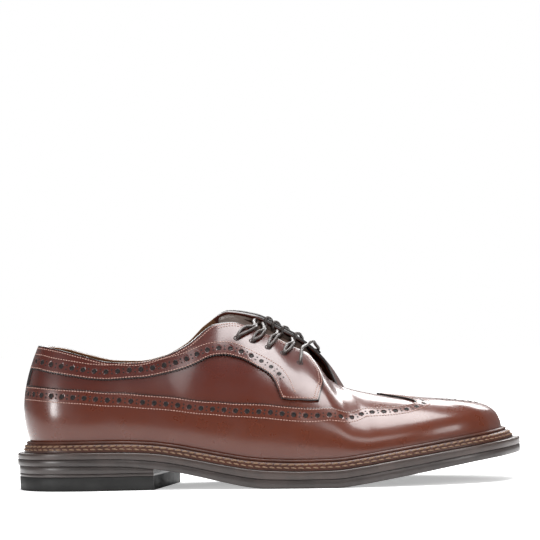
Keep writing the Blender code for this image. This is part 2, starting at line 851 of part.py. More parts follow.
def smooth_path(points, count):
    """Evenly spread points along a smooth curve through the given ones."""
    points = np.array(points)
    reach = np.append(0.0, np.cumsum(np.linalg.norm(np.diff(points, axis=0), axis=1)))
    out = []
    for distance in np.linspace(0.0, reach[-1], count + 1):
        place = []
        for axis in range(3):
            slope = smooth_slopes(reach, points[:, axis])
            place.append(float(hermite(reach, points[:, axis], slope, distance)))
        out.append(place)
    return np.array(out)


def make_tube(name, points, look):
    """A round lace along a path, with flat ends."""
    path = smooth_path(points, LACE_SEGMENTS)
    tangents = np.gradient(path, axis=0)
    verts = []
    for place, along in zip(path, tangents):
        along = along / np.linalg.norm(along)
        across = np.cross(along, (0.0, 0.0, 1.0))
        across = across / np.linalg.norm(across)
        up = np.cross(across, along)
        for i in range(LACE_SIDES):
            angle = 2.0 * math.pi * (i + 0.5) / LACE_SIDES
            verts.append(place + LACE_RADIUS * (math.cos(angle) * across + math.sin(angle) * up))
    faces = []
    for i in range(len(path) - 1):
        for j in range(LACE_SIDES):
            k = (j + 1) % LACE_SIDES
            a = i * LACE_SIDES
            b = a + LACE_SIDES
            faces.append((a + j, a + k, b + k, b + j))
    faces.append(tuple(range(LACE_SIDES)))
    faces.append(tuple(range((len(path) - 1) * LACE_SIDES, len(path) * LACE_SIDES)))
    return add_object(name, verts, faces, look)


def make_laces(look):
    """A straight bar over the lowest eyelets and four crossings above it."""
    bottom = EYELET_ROWS[-1]
    edge, half, end = over_facing(bottom, -1, BAR_ARCH)
    far_edge, far_half, far_end = over_facing(bottom, 1, BAR_ARCH)
    make_tube("lace_bar", (end, half, edge, far_edge, far_half, far_end), look)
    for k in range(len(EYELET_ROWS) - 1):
        upper_row = EYELET_ROWS[k]
        lower_row = EYELET_ROWS[k + 1] - 0.12
        middle = gap_middle(0.55 * upper_row + 0.45 * lower_row, CROSSING_LIFT)
        strands = []
        for side in (-1, 1):
            edge, half, end = over_facing(upper_row, side, CROSSING_ARCH)
            start = in_gap(lower_row, -side)
            strands.append((start, middle, edge, half, end))
        crossing = make_tube("lace_crossing_%d" % (k + 1), strands[0], look)
        other = make_tube("lace_strand_%d" % (k + 1), strands[1], look)
        other.hide_render = True
        other.display_type = "WIRE"
        join = crossing.modifiers.new("join", "BOOLEAN")
        join.operation = "UNION"
        join.object = other


def make_all():
    clear_scene()
    leather = material("tan_calf", (0.26, 0.075, 0.045), 0.22)
    overlay_leather = material("tan_calf_overlay", (0.24, 0.07, 0.042), 0.22)
    dark_leather = material("dark_brown_tongue", (0.05, 0.03, 0.026), 0.5)
    welt_leather = material("welt_brown", (0.2, 0.1, 0.07), 0.5)
    sole_leather = material("sole_edge_brown", (0.08, 0.05, 0.042), 0.45)
    rubber = material("heel_rubber", (0.03, 0.029, 0.03), 0.6)
    lining = material("lining_tan", (0.42, 0.24, 0.13), 0.6)
    lace = material("waxed_lace", (0.035, 0.024, 0.02), 0.55)
    make_outsole(sole_leather)
    make_midsole(sole_leather)
    make_heel(sole_leather, rubber)
    ring_solid("welt", welt_profile, welt_leather)
    make_upper(leather)
    make_wing(overlay_leather)
    make_trim(overlay_leather)
    make_insole(lining)
    make_tongue(dark_leather)
    make_laces(lace)


LAST = Last()
SHIFT = origin_shift()

if __name__ == "__main__":
    make_all()
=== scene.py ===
"""Longwing brogue, right shoe: leather, seams, holes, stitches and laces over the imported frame.

Sizes are in millimetres in the shoe's own frame, as in the part's source: X from the back of the
sole to the toe, +Y the big-toe side, Z above the floor. to_world turns them into metres.
"""

import math

import bmesh
import bpy
import numpy as np
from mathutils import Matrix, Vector


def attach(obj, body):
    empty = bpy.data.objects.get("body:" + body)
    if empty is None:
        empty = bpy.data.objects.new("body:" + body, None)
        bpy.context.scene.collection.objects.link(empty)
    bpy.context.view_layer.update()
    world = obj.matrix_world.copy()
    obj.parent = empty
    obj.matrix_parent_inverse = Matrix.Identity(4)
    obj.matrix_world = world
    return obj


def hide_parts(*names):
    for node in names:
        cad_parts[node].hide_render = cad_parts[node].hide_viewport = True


bl_info = {
    "name": "Longwing brogue",
    "version": (1, 0, 0),
    "blender": (4, 5, 0),
    "location": "View3D > Sidebar > Brogue",
    "description": "Builds a longwing brogue shoe, its stitches, holes, laces and a studio",
    "category": "Add Mesh",
}

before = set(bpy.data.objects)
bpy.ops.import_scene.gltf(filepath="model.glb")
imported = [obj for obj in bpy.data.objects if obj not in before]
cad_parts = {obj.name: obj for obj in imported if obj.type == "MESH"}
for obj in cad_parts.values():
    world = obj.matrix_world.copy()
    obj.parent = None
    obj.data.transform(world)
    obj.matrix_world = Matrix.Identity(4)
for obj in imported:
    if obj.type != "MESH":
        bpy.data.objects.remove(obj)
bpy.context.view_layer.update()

MM = 0.001
GAP = 0.3
# Sole, side view: height of the underside and of the top of the double sole at each x
SOLE_SIDE = (
    # x, underside, top
    (0.0, 14.8, 22.2),
    (35.0, 14.8, 22.6),
    (62.0, 14.3, 22.5),
    (82.0, 12.6, 21.6),
    (98.0, 10.3, 19.5),
    (112.0, 7.3, 16.8),
    (128.0, 3.6, 13.7),
    (142.0, 0.9, 11.4),
    (152.0, 0.0, 10.5),
    (172.0, 0.0, 9.8),
    (192.0, 0.0, 10.2),
    (208.0, 1.9, 12.1),
    (224.0, 4.5, 14.6),
    (245.0, 8.0, 17.7),
    (262.0, 10.9, 20.2),
    (280.0, 13.6, 22.6),
    (295.0, 15.4, 24.4),
    (306.0, 16.5, 25.5),
)
# How far the sole's edge stands outside the foot of the upper at each x
SOLE_MARGIN = (
    # x, margin
    (0.0, 10.4),
    (30.0, 9.2),
    (60.0, 8.6),
    (120.0, 7.6),
    (200.0, 8.8),
    (260.0, 9.2),
    (306.0, 10.6),
)
# The outsole's share of the double sole's height
OUTSOLE_SHARE = 0.52

# Front face of the heel: its x in the middle, how it slants across, and the joints' heights
HEEL_BREAST_X = 92.1
HEEL_BREAST_SLOPE = 0.195
TOP_LIFT_HEIGHT = 8.3
LOWER_LIFT_HEIGHT = 10.2

WELT_HEIGHT = 6.3
WELT_FOOT = 5.4

# Thickness of the overlays, of the wall under them and of the tongue
OVERLAY = 1.3
WALL = 2.0
TONGUE_THICKNESS = 2.0
TONGUE_INSET = 0.9

# Sections of the upper. Each row is one line from the sole up to the top edge:
# its foot (x, y), its top (x, y, z), how far it bellies out, the share of the height at which
# it starts to turn in, how far it runs in flat at the top, how much it falls over that run,
# the slope of the top line there, and how much of the line's top end is open throat.
COLUMNS = "foot_x foot_y top_x top_y top_z belly rise reach fall pitch opening".split()
HEEL_ROW = (11.6, 0.0, 15.2, 0.0, 86.5, 8.9, 0.30, 11.0, 25.0, 0.0, 0.0)
LATERAL_ROWS = (
    (15.3, -13.0, 18.4, -10.0, 86.1, 8.2, 0.30, 9.5, 25.0, 0.0, 0.0),
    (25.2, -23.0, 28.5, -17.8, 84.0, 7.5, 0.30, 7.5, 24.0, 0.0, 0.0),
    (43.0, -28.5, 43.5, -22.8, 79.9, 7.0, 0.32, 6.0, 22.0, 0.0, 0.0),
    (62.0, -29.6, 60.0, -25.8, 75.9, 7.0, 0.33, 5.0, 20.0, 0.0, 0.0),
    (82.0, -30.0, 75.0, -27.0, 75.2, 7.0, 0.35, 4.5, 19.0, 0.0, 0.0),
    (102.0, -32.0, 91.0, -26.0, 78.6, 7.5, 0.38, 4.0, 21.0, 0.0, 0.0),
    (121.0, -35.2, 105.8, -22.5, 85.2, 8.0, 0.40, 5.0, 24.0, 0.0, 0.0),
    (138.0, -39.0, 118.8, -14.0, 95.6, 9.0, 0.42, 10.0, 22.0, 0.0, 0.0),
    (154.0, -42.6, 132.5, 1.0, 104.4, 10.0, 0.45, 19.0, 12.5, -0.3, 10.2),
    (168.0, -45.3, 148.0, 7.0, 100.6, 10.5, 0.48, 23.0, 9.5, -0.5, 17.4),
    (181.0, -47.1, 163.5, 8.0, 92.4, 10.5, 0.50, 24.0, 8.5, -0.6, 17.4),
    (193.0, -48.2, 178.0, 8.0, 83.0, 10.5, 0.52, 25.0, 6.5, -0.7, 15.5),
    (205.0, -48.6, 190.0, 5.8, 64.8, 10.5, 0.52, 27.0, 3.0, -0.6, 4.0),
    (216.0, -48.2, 197.0, 5.5, 59.2, 10.0, 0.54, 28.0, 1.0, -0.32, 0.0),
    (230.0, -46.4, 197.0, 5.5, 59.2, 9.5, 0.58, 30.0, 0.0, -0.32, 0.0),
    (246.0, -43.0, 197.0, 5.5, 59.2, 8.0, 0.66, 36.0, 0.0, -0.32, 0.0),
    (262.0, -37.6, 197.0, 5.5, 59.2, 6.0, 0.78, 45.0, 0.0, -0.32, 0.0),
    (276.0, -29.8, 197.0, 5.5, 59.2, 4.0, 0.90, 54.0, 0.0, -0.32, 0.0),
    (286.5, -19.6, 197.0, 5.5, 59.2, 2.0, 1.02, 61.0, 0.0, -0.32, 0.0),
)
TOE_ROW = (294.8, 1.6, 197.0, 5.5, 59.2, 1.0, 1.04, 65.0, 0.0, -0.32, 0.0)
MEDIAL_ROWS = (
    (15.3, 13.0, 18.4, 10.0, 86.3, 8.2, 0.30, 9.5, 25.0, 0.0, 0.0),
    (25.2, 22.8, 28.5, 17.5, 84.9, 7.5, 0.30, 7.5, 24.0, 0.0, 0.0),
    (43.0, 28.0, 43.5, 22.5, 80.6, 7.0, 0.32, 6.0, 22.0, 0.0, 0.0),
    (62.0, 28.2, 60.0, 25.5, 76.6, 7.5, 0.33, 5.0, 20.0, 0.0, 0.0),
    (82.0, 25.8, 75.0, 26.8, 75.4, 9.0, 0.35, 4.5, 19.0, 0.0, 0.0),
    (102.0, 23.5, 90.0, 26.5, 78.2, 11.0, 0.38, 5.0, 21.0, 0.0, 0.0),
    (121.0, 23.8, 105.0, 24.0, 86.0, 12.0, 0.40, 6.0, 24.0, 0.0, 0.0),
    (138.0, 26.5, 117.5, 18.5, 97.8, 12.5, 0.42, 9.0, 23.0, 0.0, 0.0),
    (154.0, 30.8, 131.5, 12.5, 105.8, 12.5, 0.45, 13.0, 12.0, -0.3, 0.0),
    (168.0, 35.5, 147.5, 11.0, 103.2, 12.0, 0.48, 16.0, 8.0, -0.5, 0.0),
    (181.0, 40.0, 163.5, 10.5, 94.9, 11.0, 0.50, 19.0, 6.0, -0.6, 0.0),
    (193.0, 43.6, 178.5, 9.8, 86.2, 10.5, 0.52, 22.0, 4.0, -0.7, 0.0),
    (205.0, 46.0, 190.5, 9.2, 73.8, 10.0, 0.54, 25.0, 2.5, -0.6, 0.0),
    (216.0, 46.8, 197.0, 5.5, 59.2, 9.5, 0.56, 28.0, 1.0, -0.32, 0.0),
    (230.0, 46.3, 197.0, 5.5, 59.2, 9.0, 0.60, 31.0, 0.0, -0.32, 0.0),
    (246.0, 44.4, 197.0, 5.5, 59.2, 8.0, 0.68, 37.0, 0.0, -0.32, 0.0),
    (262.0, 39.8, 197.0, 5.5, 59.2, 6.0, 0.80, 45.0, 0.0, -0.32, 0.0),
    (276.0, 32.4, 197.0, 5.5, 59.2, 4.0, 0.92, 54.0, 0.0, -0.32, 0.0),
    (286.5, 22.4, 197.0, 5.5, 59.2, 2.0, 1.03, 61.0, 0.0, -0.32, 0.0),
)
SIDE_ROWS = len(LATERAL_ROWS)
FIRST_TOE_ROW = 14
# Edges of the overlays: the row of the table above (0 at the heel, 20 at the toe) and the share
# of that row's line at which the edge crosses it
WING_EDGE = (
    # row, share
    (0.0, 0.664),
    (2.0, 0.666),
    (4.0, 0.69),
    (5.0, 0.664),
    (6.0, 0.602),
    (7.0, 0.51),
    (8.0, 0.405),
    (9.0, 0.33),
    (10.0, 0.319),
    (11.0, 0.333),
    (12.0, 0.372),
    (13.0, 0.462),
    (14.0, 0.535),
    (15.0, 0.525),
    (16.0, 0.52),
    (17.0, 0.552),
    (18.0, 0.715),
    (19.0, 0.82),
    (20.0, 0.88),
)
TRIM_EDGE = (
    # row, share
    (0.0, 0.805),
    (1.0, 0.802),
    (2.0, 0.788),
    (3.0, 0.786),
    (4.0, 0.812),
    (5.0, 0.831),
    (6.0, 0.829),
    (7.0, 0.817),
    (7.5, 0.796),
    (8.1, 0.738),
    (8.62, 0.626),
    (8.98, 0.556),
    (9.38, 0.512),
    (9.6, 0.485),
    (9.72, 0.445),
    (9.79, 0.395),
    (9.87, 0.357),
    (10.14, 0.354),
    (10.7, 0.366),
    (11.3, 0.38),
    (12.2, 0.41),
)
# Front edge of the eyelet tab: the share of the line, and the row that the edge has reached.
# Rows of the trim are pulled towards it over the last TAB_BLEND_ROWS before TAB_ROW.
TAB_FRONT = ((0.35, 11.4), (0.47, 11.75), (0.58, 12.05), (0.66, 12.1), (0.76, 11.95), (0.90, 11.5))
TAB_ROW = 11.8
TAB_BLEND_ROWS = 1.6

# Heights above the overlays' outer face: the wall's outside, its inside, the overlays' underside
BASE_LIFT = -OVERLAY
LINING_LIFT = -(OVERLAY + WALL)
OVERLAY_UNDERSIDE = -1.05

LACE_RADIUS = 0.98
EYELET_ROWS = (8.78, 9.32, 9.88, 10.48, 11.12)
# How far each eyelet stands below the facing's edge
EYELET_DEPTHS = (13.6, 13.8, 14.0, 15.0, 17.0)
# Rows at which strands cross the near facing's edge and the far one's, and the far eyelets' rows
CROSSING_ROWS = (9.5, 9.84, 10.34, 10.98, 11.45)
FAR_ROWS = (9.98, 10.3, 10.9, 11.42, 12.2)
FAR_EYELET_ROWS = (10.42, 10.7, 11.05, 11.55, 12.25)
FAR_DEPTH = 9.0
# How far the two strands of a loop bow apart on the near facing
LOOP_BULGE = 1.7
# The tongue's share of the lines on each side, and its two end rows
TONGUE_LATERAL = (0.62, 1.0)
TONGUE_MEDIAL = (0.985, 0.80)
TONGUE_ENDS = (8.55, 13.2)


def slopes_of(t, y):
    """Slopes at the knots of a curve that never overshoots its own values."""
    step = np.diff(t)
    rate = np.diff(y) / step
    slope = np.zeros(len(t))
    slope[0] = rate[0]
    slope[-1] = rate[-1]
    for i in range(1, len(t) - 1):
        if rate[i - 1] * rate[i] > 0.0:
            a = 2.0 * step[i] + step[i - 1]
            b = step[i] + 2.0 * step[i - 1]
            slope[i] = (a + b) / (a / rate[i - 1] + b / rate[i])
    return slope


def hermite(t, y, slope, at):
    """The curve with those slopes at the knots, read at one or more places."""
    i = np.clip(np.searchsorted(t, at) - 1, 0, len(t) - 2)
    step = t[i + 1] - t[i]
    u = (at - t[i]) / step
    low = y[i] * (1.0 + 2.0 * u) * (1.0 - u) ** 2 + slope[i] * step * u * (1.0 - u) ** 2
    high = y[i + 1] * u * u * (3.0 - 2.0 * u) - slope[i + 1] * step * u * u * (1.0 - u)
    return low + high


class Curve:
    """A smooth curve through a short table of (place, value) rows."""

    def __init__(self, table, free=False):
        rows = np.array(table, dtype=float)
        self.t = rows[:, 0]
        self.y = rows[:, 1]
        self.slope = np.gradient(self.y, self.t) if free else slopes_of(self.t, self.y)

    def __call__(self, at):
        at = np.asarray(at, dtype=float)
        return hermite(self.t, self.y, self.slope, np.clip(at, self.t[0], self.t[-1]))


under = Curve([(x, low) for x, low, top in SOLE_SIDE])
over = Curve([(x, top) for x, low, top in SOLE_SIDE])
sole_margin = Curve(SOLE_MARGIN, free=True)
wing_curve = Curve(WING_EDGE)
trim_curve = Curve(TRIM_EDGE)
tab_front = Curve(TAB_FRONT)


def parting(x):
    """Height of the joint between outsole and midsole."""
    return under(x) + OUTSOLE_SHARE * (over(x) - under(x))


def unit(vectors):
    return vectors / np.maximum(np.linalg.norm(vectors, axis=-1, keepdims=True), 1e-9)


def distances(track):
    """How far along a line each of its points lies."""
    return np.append(0.0, np.cumsum(np.linalg.norm(np.diff(track, axis=0), axis=1)))


class Last:
    """The shape of the upper, read at whole arrays of places (turn, rise) at once."""

    def __init__(self):
        rows = [HEEL_ROW] + list(LATERAL_ROWS) + [TOE_ROW] + list(reversed(MEDIAL_ROWS))
        rows = np.array(rows, dtype=float)
        self.values = np.vstack((rows[-4:], rows, rows[:4]))
        self.knots = np.arange(-4, len(rows) + 4) / (SIDE_ROWS + 1.0)
        self.slopes = np.zeros_like(self.values)
        for column, name in enumerate(COLUMNS):
            steady = name.startswith("top") or name in ("opening", "fall")
            values = self.values[:, column]
            made = slopes_of(self.knots, values) if steady else np.gradient(values, self.knots)
            self.slopes[:, column] = made

    def row(self, turn, names=COLUMNS):
        """The named columns of the table at places round the shoe."""
        turn = np.asarray(turn, dtype=float) % 2.0
        found = {}
        for name in names:
            c = COLUMNS.index(name)
            found[name] = hermite(self.knots, self.values[:, c], self.slopes[:, c], turn)
        return found

    def foot(self, turn):
        row = self.row(turn, ("foot_x", "foot_y"))
        return np.stack((row["foot_x"], row["foot_y"]), axis=-1)

    def outward(self, turn):
        """Direction square to the footprint, away from the shoe."""
        turn = np.asarray(turn, dtype=float)
        along = unit(self.foot(turn + 0.004) - self.foot(turn - 0.004))
        return np.stack((along[..., 1], -along[..., 0]), axis=-1)

    def point(self, turn, rise):
        turn, rise = np.broadcast_arrays(np.asarray(turn, float), np.asarray(rise, float))
        r = self.row(turn)
        out = self.outward(turn)
        foot_z = over(r["foot_x"]) + GAP
        foot = np.stack((r["foot_x"], r["foot_y"], foot_z), axis=-1)
        top = np.stack((r["top_x"], r["top_y"], r["top_z"]), axis=-1)
        climb = r["rise"] * (r["top_z"] - foot_z)
        low = foot + np.stack((out[..., 0] * r["belly"], out[..., 1] * r["belly"], climb), axis=-1)
        away = unit(foot[..., :2] - top[..., :2]) * r["reach"][..., None]
        drop = r["pitch"] * away[..., 0] - r["fall"]
        high = top + np.stack((away[..., 0], away[..., 1], drop), axis=-1)
        v = rise[..., None]
        u = 1.0 - v
        return foot * u**3 + low * 3.0 * u * u * v + high * 3.0 * u * v * v + top * v**3

    def normal(self, turn, rise):
        turn = np.asarray(turn, dtype=float)
        rise = np.clip(rise, 0.004, 0.985)
        around = self.point(turn + 0.003, rise) - self.point(turn - 0.003, rise)
        up = self.point(turn, rise + 0.003) - self.point(turn, rise - 0.003)
        return unit(np.cross(around, up))

    def at(self, turn, rise, lift=0.0):
        """Points of the upper, lifted off its surface along the normal."""
        lift = np.asarray(lift, dtype=float)
        return self.point(turn, rise) + self.normal(turn, rise) * lift[..., None]

    def search(self, turn, low, wanted):
        """The rise at which a line stops being wanted, between low and its top."""
        turn = np.asarray(turn, dtype=float)
        low = np.full(turn.shape, low)
        high = np.ones(turn.shape)
        for _ in range(24):
            middle = 0.5 * (low + high)
            keep = wanted(middle)
            low = np.where(keep, middle, low)
            high = np.where(keep, high, middle)
        return 0.5 * (low + high)

    def rise_at_height(self, turn, height):
        floor = self.point(turn, 0.0)[..., 2]
        return self.search(turn, 0.0, lambda rise: self.point(turn, rise)[..., 2] - floor < height)

    def rise_before_top(self, turn, distance):
        """The rise at which a line is that far from its top end."""
        top = self.point(turn, 1.0)
        distance = np.asarray(distance, dtype=float)

        def far(rise):
            return np.linalg.norm(self.point(turn, rise) - top, axis=-1) > distance

        return np.where(distance <= 0.0, 1.0, self.search(turn, 0.4, far))

    def brim(self, turn):
        """The rise of the collar's or facing's edge."""
        return self.rise_before_top(turn, self.row(turn, ("opening",))["opening"])

    def steepness(self, turn, rise):
        """How the point moves with turn and with rise."""
        step = 0.002
        around = (self.point(turn + step, rise) - self.point(turn - step, rise)) / (2.0 * step)
        low = np.clip(rise - step, 0.0, 1.0)
        high = np.clip(rise + step, 0.0, 1.0)
        up = (self.point(turn, high) - self.point(turn, low)) / (high - low)[..., None]
        return around, up


LAST = Last()
ROWS = SIDE_ROWS + 1.0


def row_of(turn):
    """Row number of a place round the shoe, the same on both sides."""
    turn = np.asarray(turn, dtype=float) % 2.0
    return np.where(turn <= 1.0, turn, 2.0 - turn) * ROWS


def turn_of(row, side):
    """Place round the shoe of a row, on the lateral (-1) or medial (+1) side."""
    turn = np.asarray(row, dtype=float) / ROWS
    return np.where(np.asarray(side) < 0, turn, 2.0 - turn)


def wing_edge(turn):
    return wing_curve(row_of(turn))


def edge_ring(turn, extra):
    """The sole's outline at one distance from its nominal edge."""
    foot = LAST.foot(turn)
    margin = sole_margin(foot[..., 0]) + extra
    return foot + LAST.outward(turn) * margin[..., None]


def middle_of_sole():
    ring = edge_ring(2.0 * np.arange(400) / 400, 1.2)
    return (ring.min(axis=0) + ring.max(axis=0)) / 2.0


MIDDLE = middle_of_sole()


def to_world(points):
    points = np.asarray(points, dtype=float)
    moved = points - np.array((MIDDLE[0], MIDDLE[1], 0.0))
    return moved * MM


def soft_waves(points):
    """The leather's own slight waviness, in millimetres off its surface."""
    x = points[..., 0]
    y = points[..., 1]
    z = points[..., 2]
    broad = np.sin(x / 13.0 + 0.6 * np.sin(z / 11.0)) * np.sin(z / 9.0 + y / 15.0)
    small = np.sin(x / 5.1 + y / 7.3) * np.sin(z / 4.3 - x / 17.0)
    return 0.055 * broad + 0.022 * small


# Soft creases where the vamp bends: place along the shoe, half width, depth, and how low it runs
CREASES = (
    # x, width, depth, low end (z)
    (206.0, 5.0, 0.07, 34.0),
    (217.0, 6.0, 0.05, 30.0),
)


def creases(points):
    """How far the bending of the forefoot presses the leather in, in millimetres."""
    press = np.zeros(points.shape[:-1])
    for x, width, depth, low in CREASES:
        slant = x + 0.14 * (55.0 - points[..., 2])
        band = np.exp(-(((points[..., 0] - slant) / width) ** 2))
        press += depth * band * np.clip((points[..., 2] - low) / 12.0, 0.0, 1.0)
    return press


def even_turns(edge, count):
    """Turns that cut a line round the shoe into pieces of one length, and its whole length."""
    fine = np.linspace(0.0, 2.0, 3000)
    reach = distances(LAST.point(fine, edge(fine)))
    turns = np.interp(np.linspace(0.0, reach[-1], count + 1), reach, fine)
    return turns[:-1], reach[-1]


def offset_path(path, distance):
    """A path of (turn, rise) moved square to itself over the surface, to its right when positive.

    Points that come nearer to the old path than they should, inside a sharp bend, are left out.
    """
    turn = path[:, 0]
    rise = path[:, 1]
    around, up = LAST.steepness(turn, rise)
    step = np.gradient(path, axis=0)
    e = (around * around).sum(axis=1)
    f = (around * up).sum(axis=1)
    g = (up * up).sum(axis=1)
    a = f * step[:, 0] + g * step[:, 1]
    b = -(e * step[:, 0] + f * step[:, 1])
    size = np.sqrt(e * a * a + 2.0 * f * a * b + g * b * b)
    moved = np.stack((turn + a * distance / size, rise + b * distance / size), axis=1)
    old = LAST.point(turn, rise)
    new = LAST.point(moved[:, 0], moved[:, 1])
    keep = np.ones(len(new), dtype=bool)
    for i in range(len(new)):
        keep[i] = np.min(np.linalg.norm(old - new[i], axis=1)) > 0.93 * abs(distance)
    return moved[keep]


def resample(path, spacing, start=0.0):
    """Places along a path at one spacing, from a distance past its start."""
    track = LAST.point(path[:, 0], path[:, 1])
    reach = distances(track)
    count = int((reach[-1] - start) / spacing)
    wanted = start + np.arange(count + 1) * spacing
    turn = np.interp(wanted, reach, path[:, 0])
    rise = np.interp(wanted, reach, path[:, 1])
    return np.stack((turn, rise), axis=1)


def line_grid(turn_at, begin, end, spread, rest):
    """Rises on every line at set distances from an edge, then evenly on to the other end.

    turn_at(rises) gives the turns of the grid, begin and end are the rises of the two ends, and
    spread is the distances square to the edge.
    """
    share = np.linspace(0.0, 1.0, 70)
    fine = begin[:, None] + (end - begin)[:, None] * share[None, :]
    turns = turn_at(fine)
    track = LAST.point(turns, fine)
    pieces = np.linalg.norm(np.diff(track, axis=1), axis=2)
    reach = np.concatenate((np.zeros((len(begin), 1)), np.cumsum(pieces, axis=1)), axis=1)
    edge = unit(np.gradient(track[:, 0], axis=0))
    line = unit(track[:, 1] - track[:, 0])
    slant = np.linalg.norm(np.cross(edge, line), axis=1)
    stretch = 1.0 / np.clip(slant, 0.36, 1.0)
    spread = np.asarray(spread, dtype=float)
    rises = np.zeros((len(begin), len(spread) + rest))
    square = np.zeros_like(rises)
    for i in range(len(begin)):
        total = reach[i, -1]
        near = spread * stretch[i]
        near = near * min(1.0, 0.86 * total / near[-1])
        far = near[-1] + (total - near[-1]) * np.arange(1, rest + 1) / rest
        distance = np.append(near, far)
        rises[i] = np.interp(distance, reach[i], fine[i])
        square[i] = distance / stretch[i]
    return rises, square


# Corners nearer than the first are welded, and edges shorter than the second are removed, in metres
WELD_DISTANCE = 2e-6
SLIVER = 1e-6


def build(name, points, faces, finishes, measure=None, zones=None, weld=False, crease=40.0):
    """An object from points in the shoe's own frame, closed, with its faces turned outwards."""
    mesh = bpy.data.meshes.new(name)
    mesh.from_pydata(to_world(points).tolist(), [], faces)
    if measure is not None:
        layer = mesh.uv_layers.new(name="measure")
        corner = np.zeros(len(mesh.loops), dtype=np.int32)
        mesh.loops.foreach_get("vertex_index", corner)
        layer.data.foreach_set("uv", np.asarray(measure, dtype=np.float32)[corner].ravel())
    if zones is not None:
        mesh.polygons.foreach_set("material_index", np.asarray(zones, dtype=np.int32))
    shape = bmesh.new()
    shape.from_mesh(mesh)
    if weld:
        bmesh.ops.remove_doubles(shape, verts=shape.verts[:], dist=WELD_DISTANCE)
        bmesh.ops.dissolve_degenerate(shape, dist=SLIVER, edges=shape.edges[:])
        loose = [edge for edge in shape.edges if not edge.link_faces]
        bmesh.ops.delete(shape, geom=loose, context="EDGES")
    bmesh.ops.recalc_face_normals(shape, faces=shape.faces[:])
    shape.to_mesh(mesh)
    shape.free()
    mesh.shade_smooth()
    mesh.set_sharp_from_angle(angle=math.radians(crease))
    for finish in finishes:
        mesh.materials.append(finish)
    made = bpy.data.objects.new(name, mesh)
    bpy.context.scene.collection.objects.link(made)
    return made


def sweep(name, sections, closed, finishes, measure=None, zone_rows=None, weld=False, crease=40.0):
    """A solid from closed sections, one after another; an open run gets its two ends closed.

    sections has one row per section. zone_rows gives the material of each strip along the run.
    """
    count, corners = sections.shape[:2]
    runs = count if closed else count - 1
    i, j = np.meshgrid(np.arange(runs), np.arange(corners), indexing="ij")
    a = i * corners + j
    b = i * corners + (j + 1) % corners
    c = ((i + 1) % count) * corners + (j + 1) % corners
    d = ((i + 1) % count) * corners + j
    faces = np.stack((a, b, c, d), axis=-1).reshape(-1, 4).tolist()
    zones = None
    if zone_rows is not None:
        zones = np.broadcast_to(np.asarray(zone_rows), (runs, corners)).ravel().tolist()
    if not closed:
        half = corners // 2
        last = (count - 1) * corners
        for k in range(half - 1):
            mirror = corners - 1 - k
            faces.append((k, k + 1, mirror - 1, mirror))
            faces.append((last + k, last + mirror, last + mirror - 1, last + k + 1))
            if zones is not None:
                zones += [0, 0]
    flat = sections.reshape(-1, 3)
    if measure is not None:
        measure = measure.reshape(-1, 2)
    return build(name, flat, faces, finishes, measure, zones, weld, crease)


def slab(name, levels, finishes, across=6):
    """A flat piece of the sole. Each level is (near side points, far side points, height by x)."""
    rings = []
    for near, far, height in levels:
        row = []
        for i in range(len(near)):
            row.append((near[i], far[i]))
        rings.append((np.array(row), height))
    count = len(rings[0][0])
    points = []
    faces = []

    def strip(first, second, flip):
        """Quads between two lists of points of the same length."""
        base = len(points)
        for p, q in zip(first, second):
            points.append(p)
            points.append(q)
        for k in range(len(first) - 1):
            a = base + 2 * k
            face = (a, a + 1, a + 3, a + 2)
            faces.append(face[::-1] if flip else face)

    def placed(pair_row, side, height):
        xy = pair_row[:, side]
        return [(x, y, float(height(x))) for x, y in xy]

    for level in range(len(rings) - 1):
        pairs, height = rings[level]
        low_pairs, low_height = rings[level + 1]
        for side in (0, 1):
            strip(placed(pairs, side, height), placed(low_pairs, side, low_height), side == 1)
    shares = np.linspace(0.0, 1.0, across + 1)
    for pairs, height in (rings[0], rings[-1]):
        for k in range(across):
            lanes = []
            for share in (shares[k], shares[k + 1]):
                xy = pairs[:, 0] * (1.0 - share) + pairs[:, 1] * share
                lanes.append([(x, y, float(height(x))) for x, y in xy])
            strip(lanes[0], lanes[1], False)
    for end in (0, count - 1):
        for k in range(across):
            lanes = []
            for share in (shares[k], shares[k + 1]):
                lane = []
                for pairs, height in rings:
                    xy = pairs[end, 0] * (1.0 - share) + pairs[end, 1] * share
                    lane.append((xy[0], xy[1], float(height(xy[0]))))
                lanes.append(lane)
            strip(lanes[0], lanes[1], False)
    return build(name, np.array(points), faces, finishes, weld=True, crease=50.0)


def tube(name, path, radius, sides, finishes):
    """A round cord along a path; its measure is the length along it and the way round it."""
    path = np.array(path)
    along = unit(np.gradient(path, axis=0))
    across = unit(np.cross(along, (0.0, 0.0, 1.0)))
    up = np.cross(across, along)
    angles = 2.0 * math.pi * np.arange(sides) / sides
    ring = np.cos(angles)[None, :, None] * across[:, None] + np.sin(angles)[None, :, None] * up[:, None]
    points = path[:, None] + radius * ring
    reach = distances(path)
    measure = np.zeros(points.shape[:2] + (2,))
    measure[..., 0] = reach[:, None]
    measure[..., 1] = (np.arange(sides) / sides)[None, :]
    count = len(path)
    i, j = np.meshgrid(np.arange(count - 1), np.arange(sides), indexing="ij")
    k = (j + 1) % sides
    faces = np.stack((i * sides + j, i * sides + k, (i + 1) * sides + k, (i + 1) * sides + j), axis=-1)
    faces = faces.reshape(-1, 4).tolist()
    faces.append(tuple(range(sides)))
    faces.append(tuple(range((count - 1) * sides, count * sides)))
    return build(name, points.reshape(-1, 3), faces, finishes, measure.reshape(-1, 2))


def joined(name, parts):
    """One object from several."""
    shape = bmesh.new()
    for part in parts:
        shape.from_mesh(part.data)
    mesh = parts[0].data
    shape.to_mesh(mesh)
    shape.free()
    for part in parts[1:]:
        bpy.data.objects.remove(part, do_unlink=True)
    parts[0].name = name
    return parts[0]


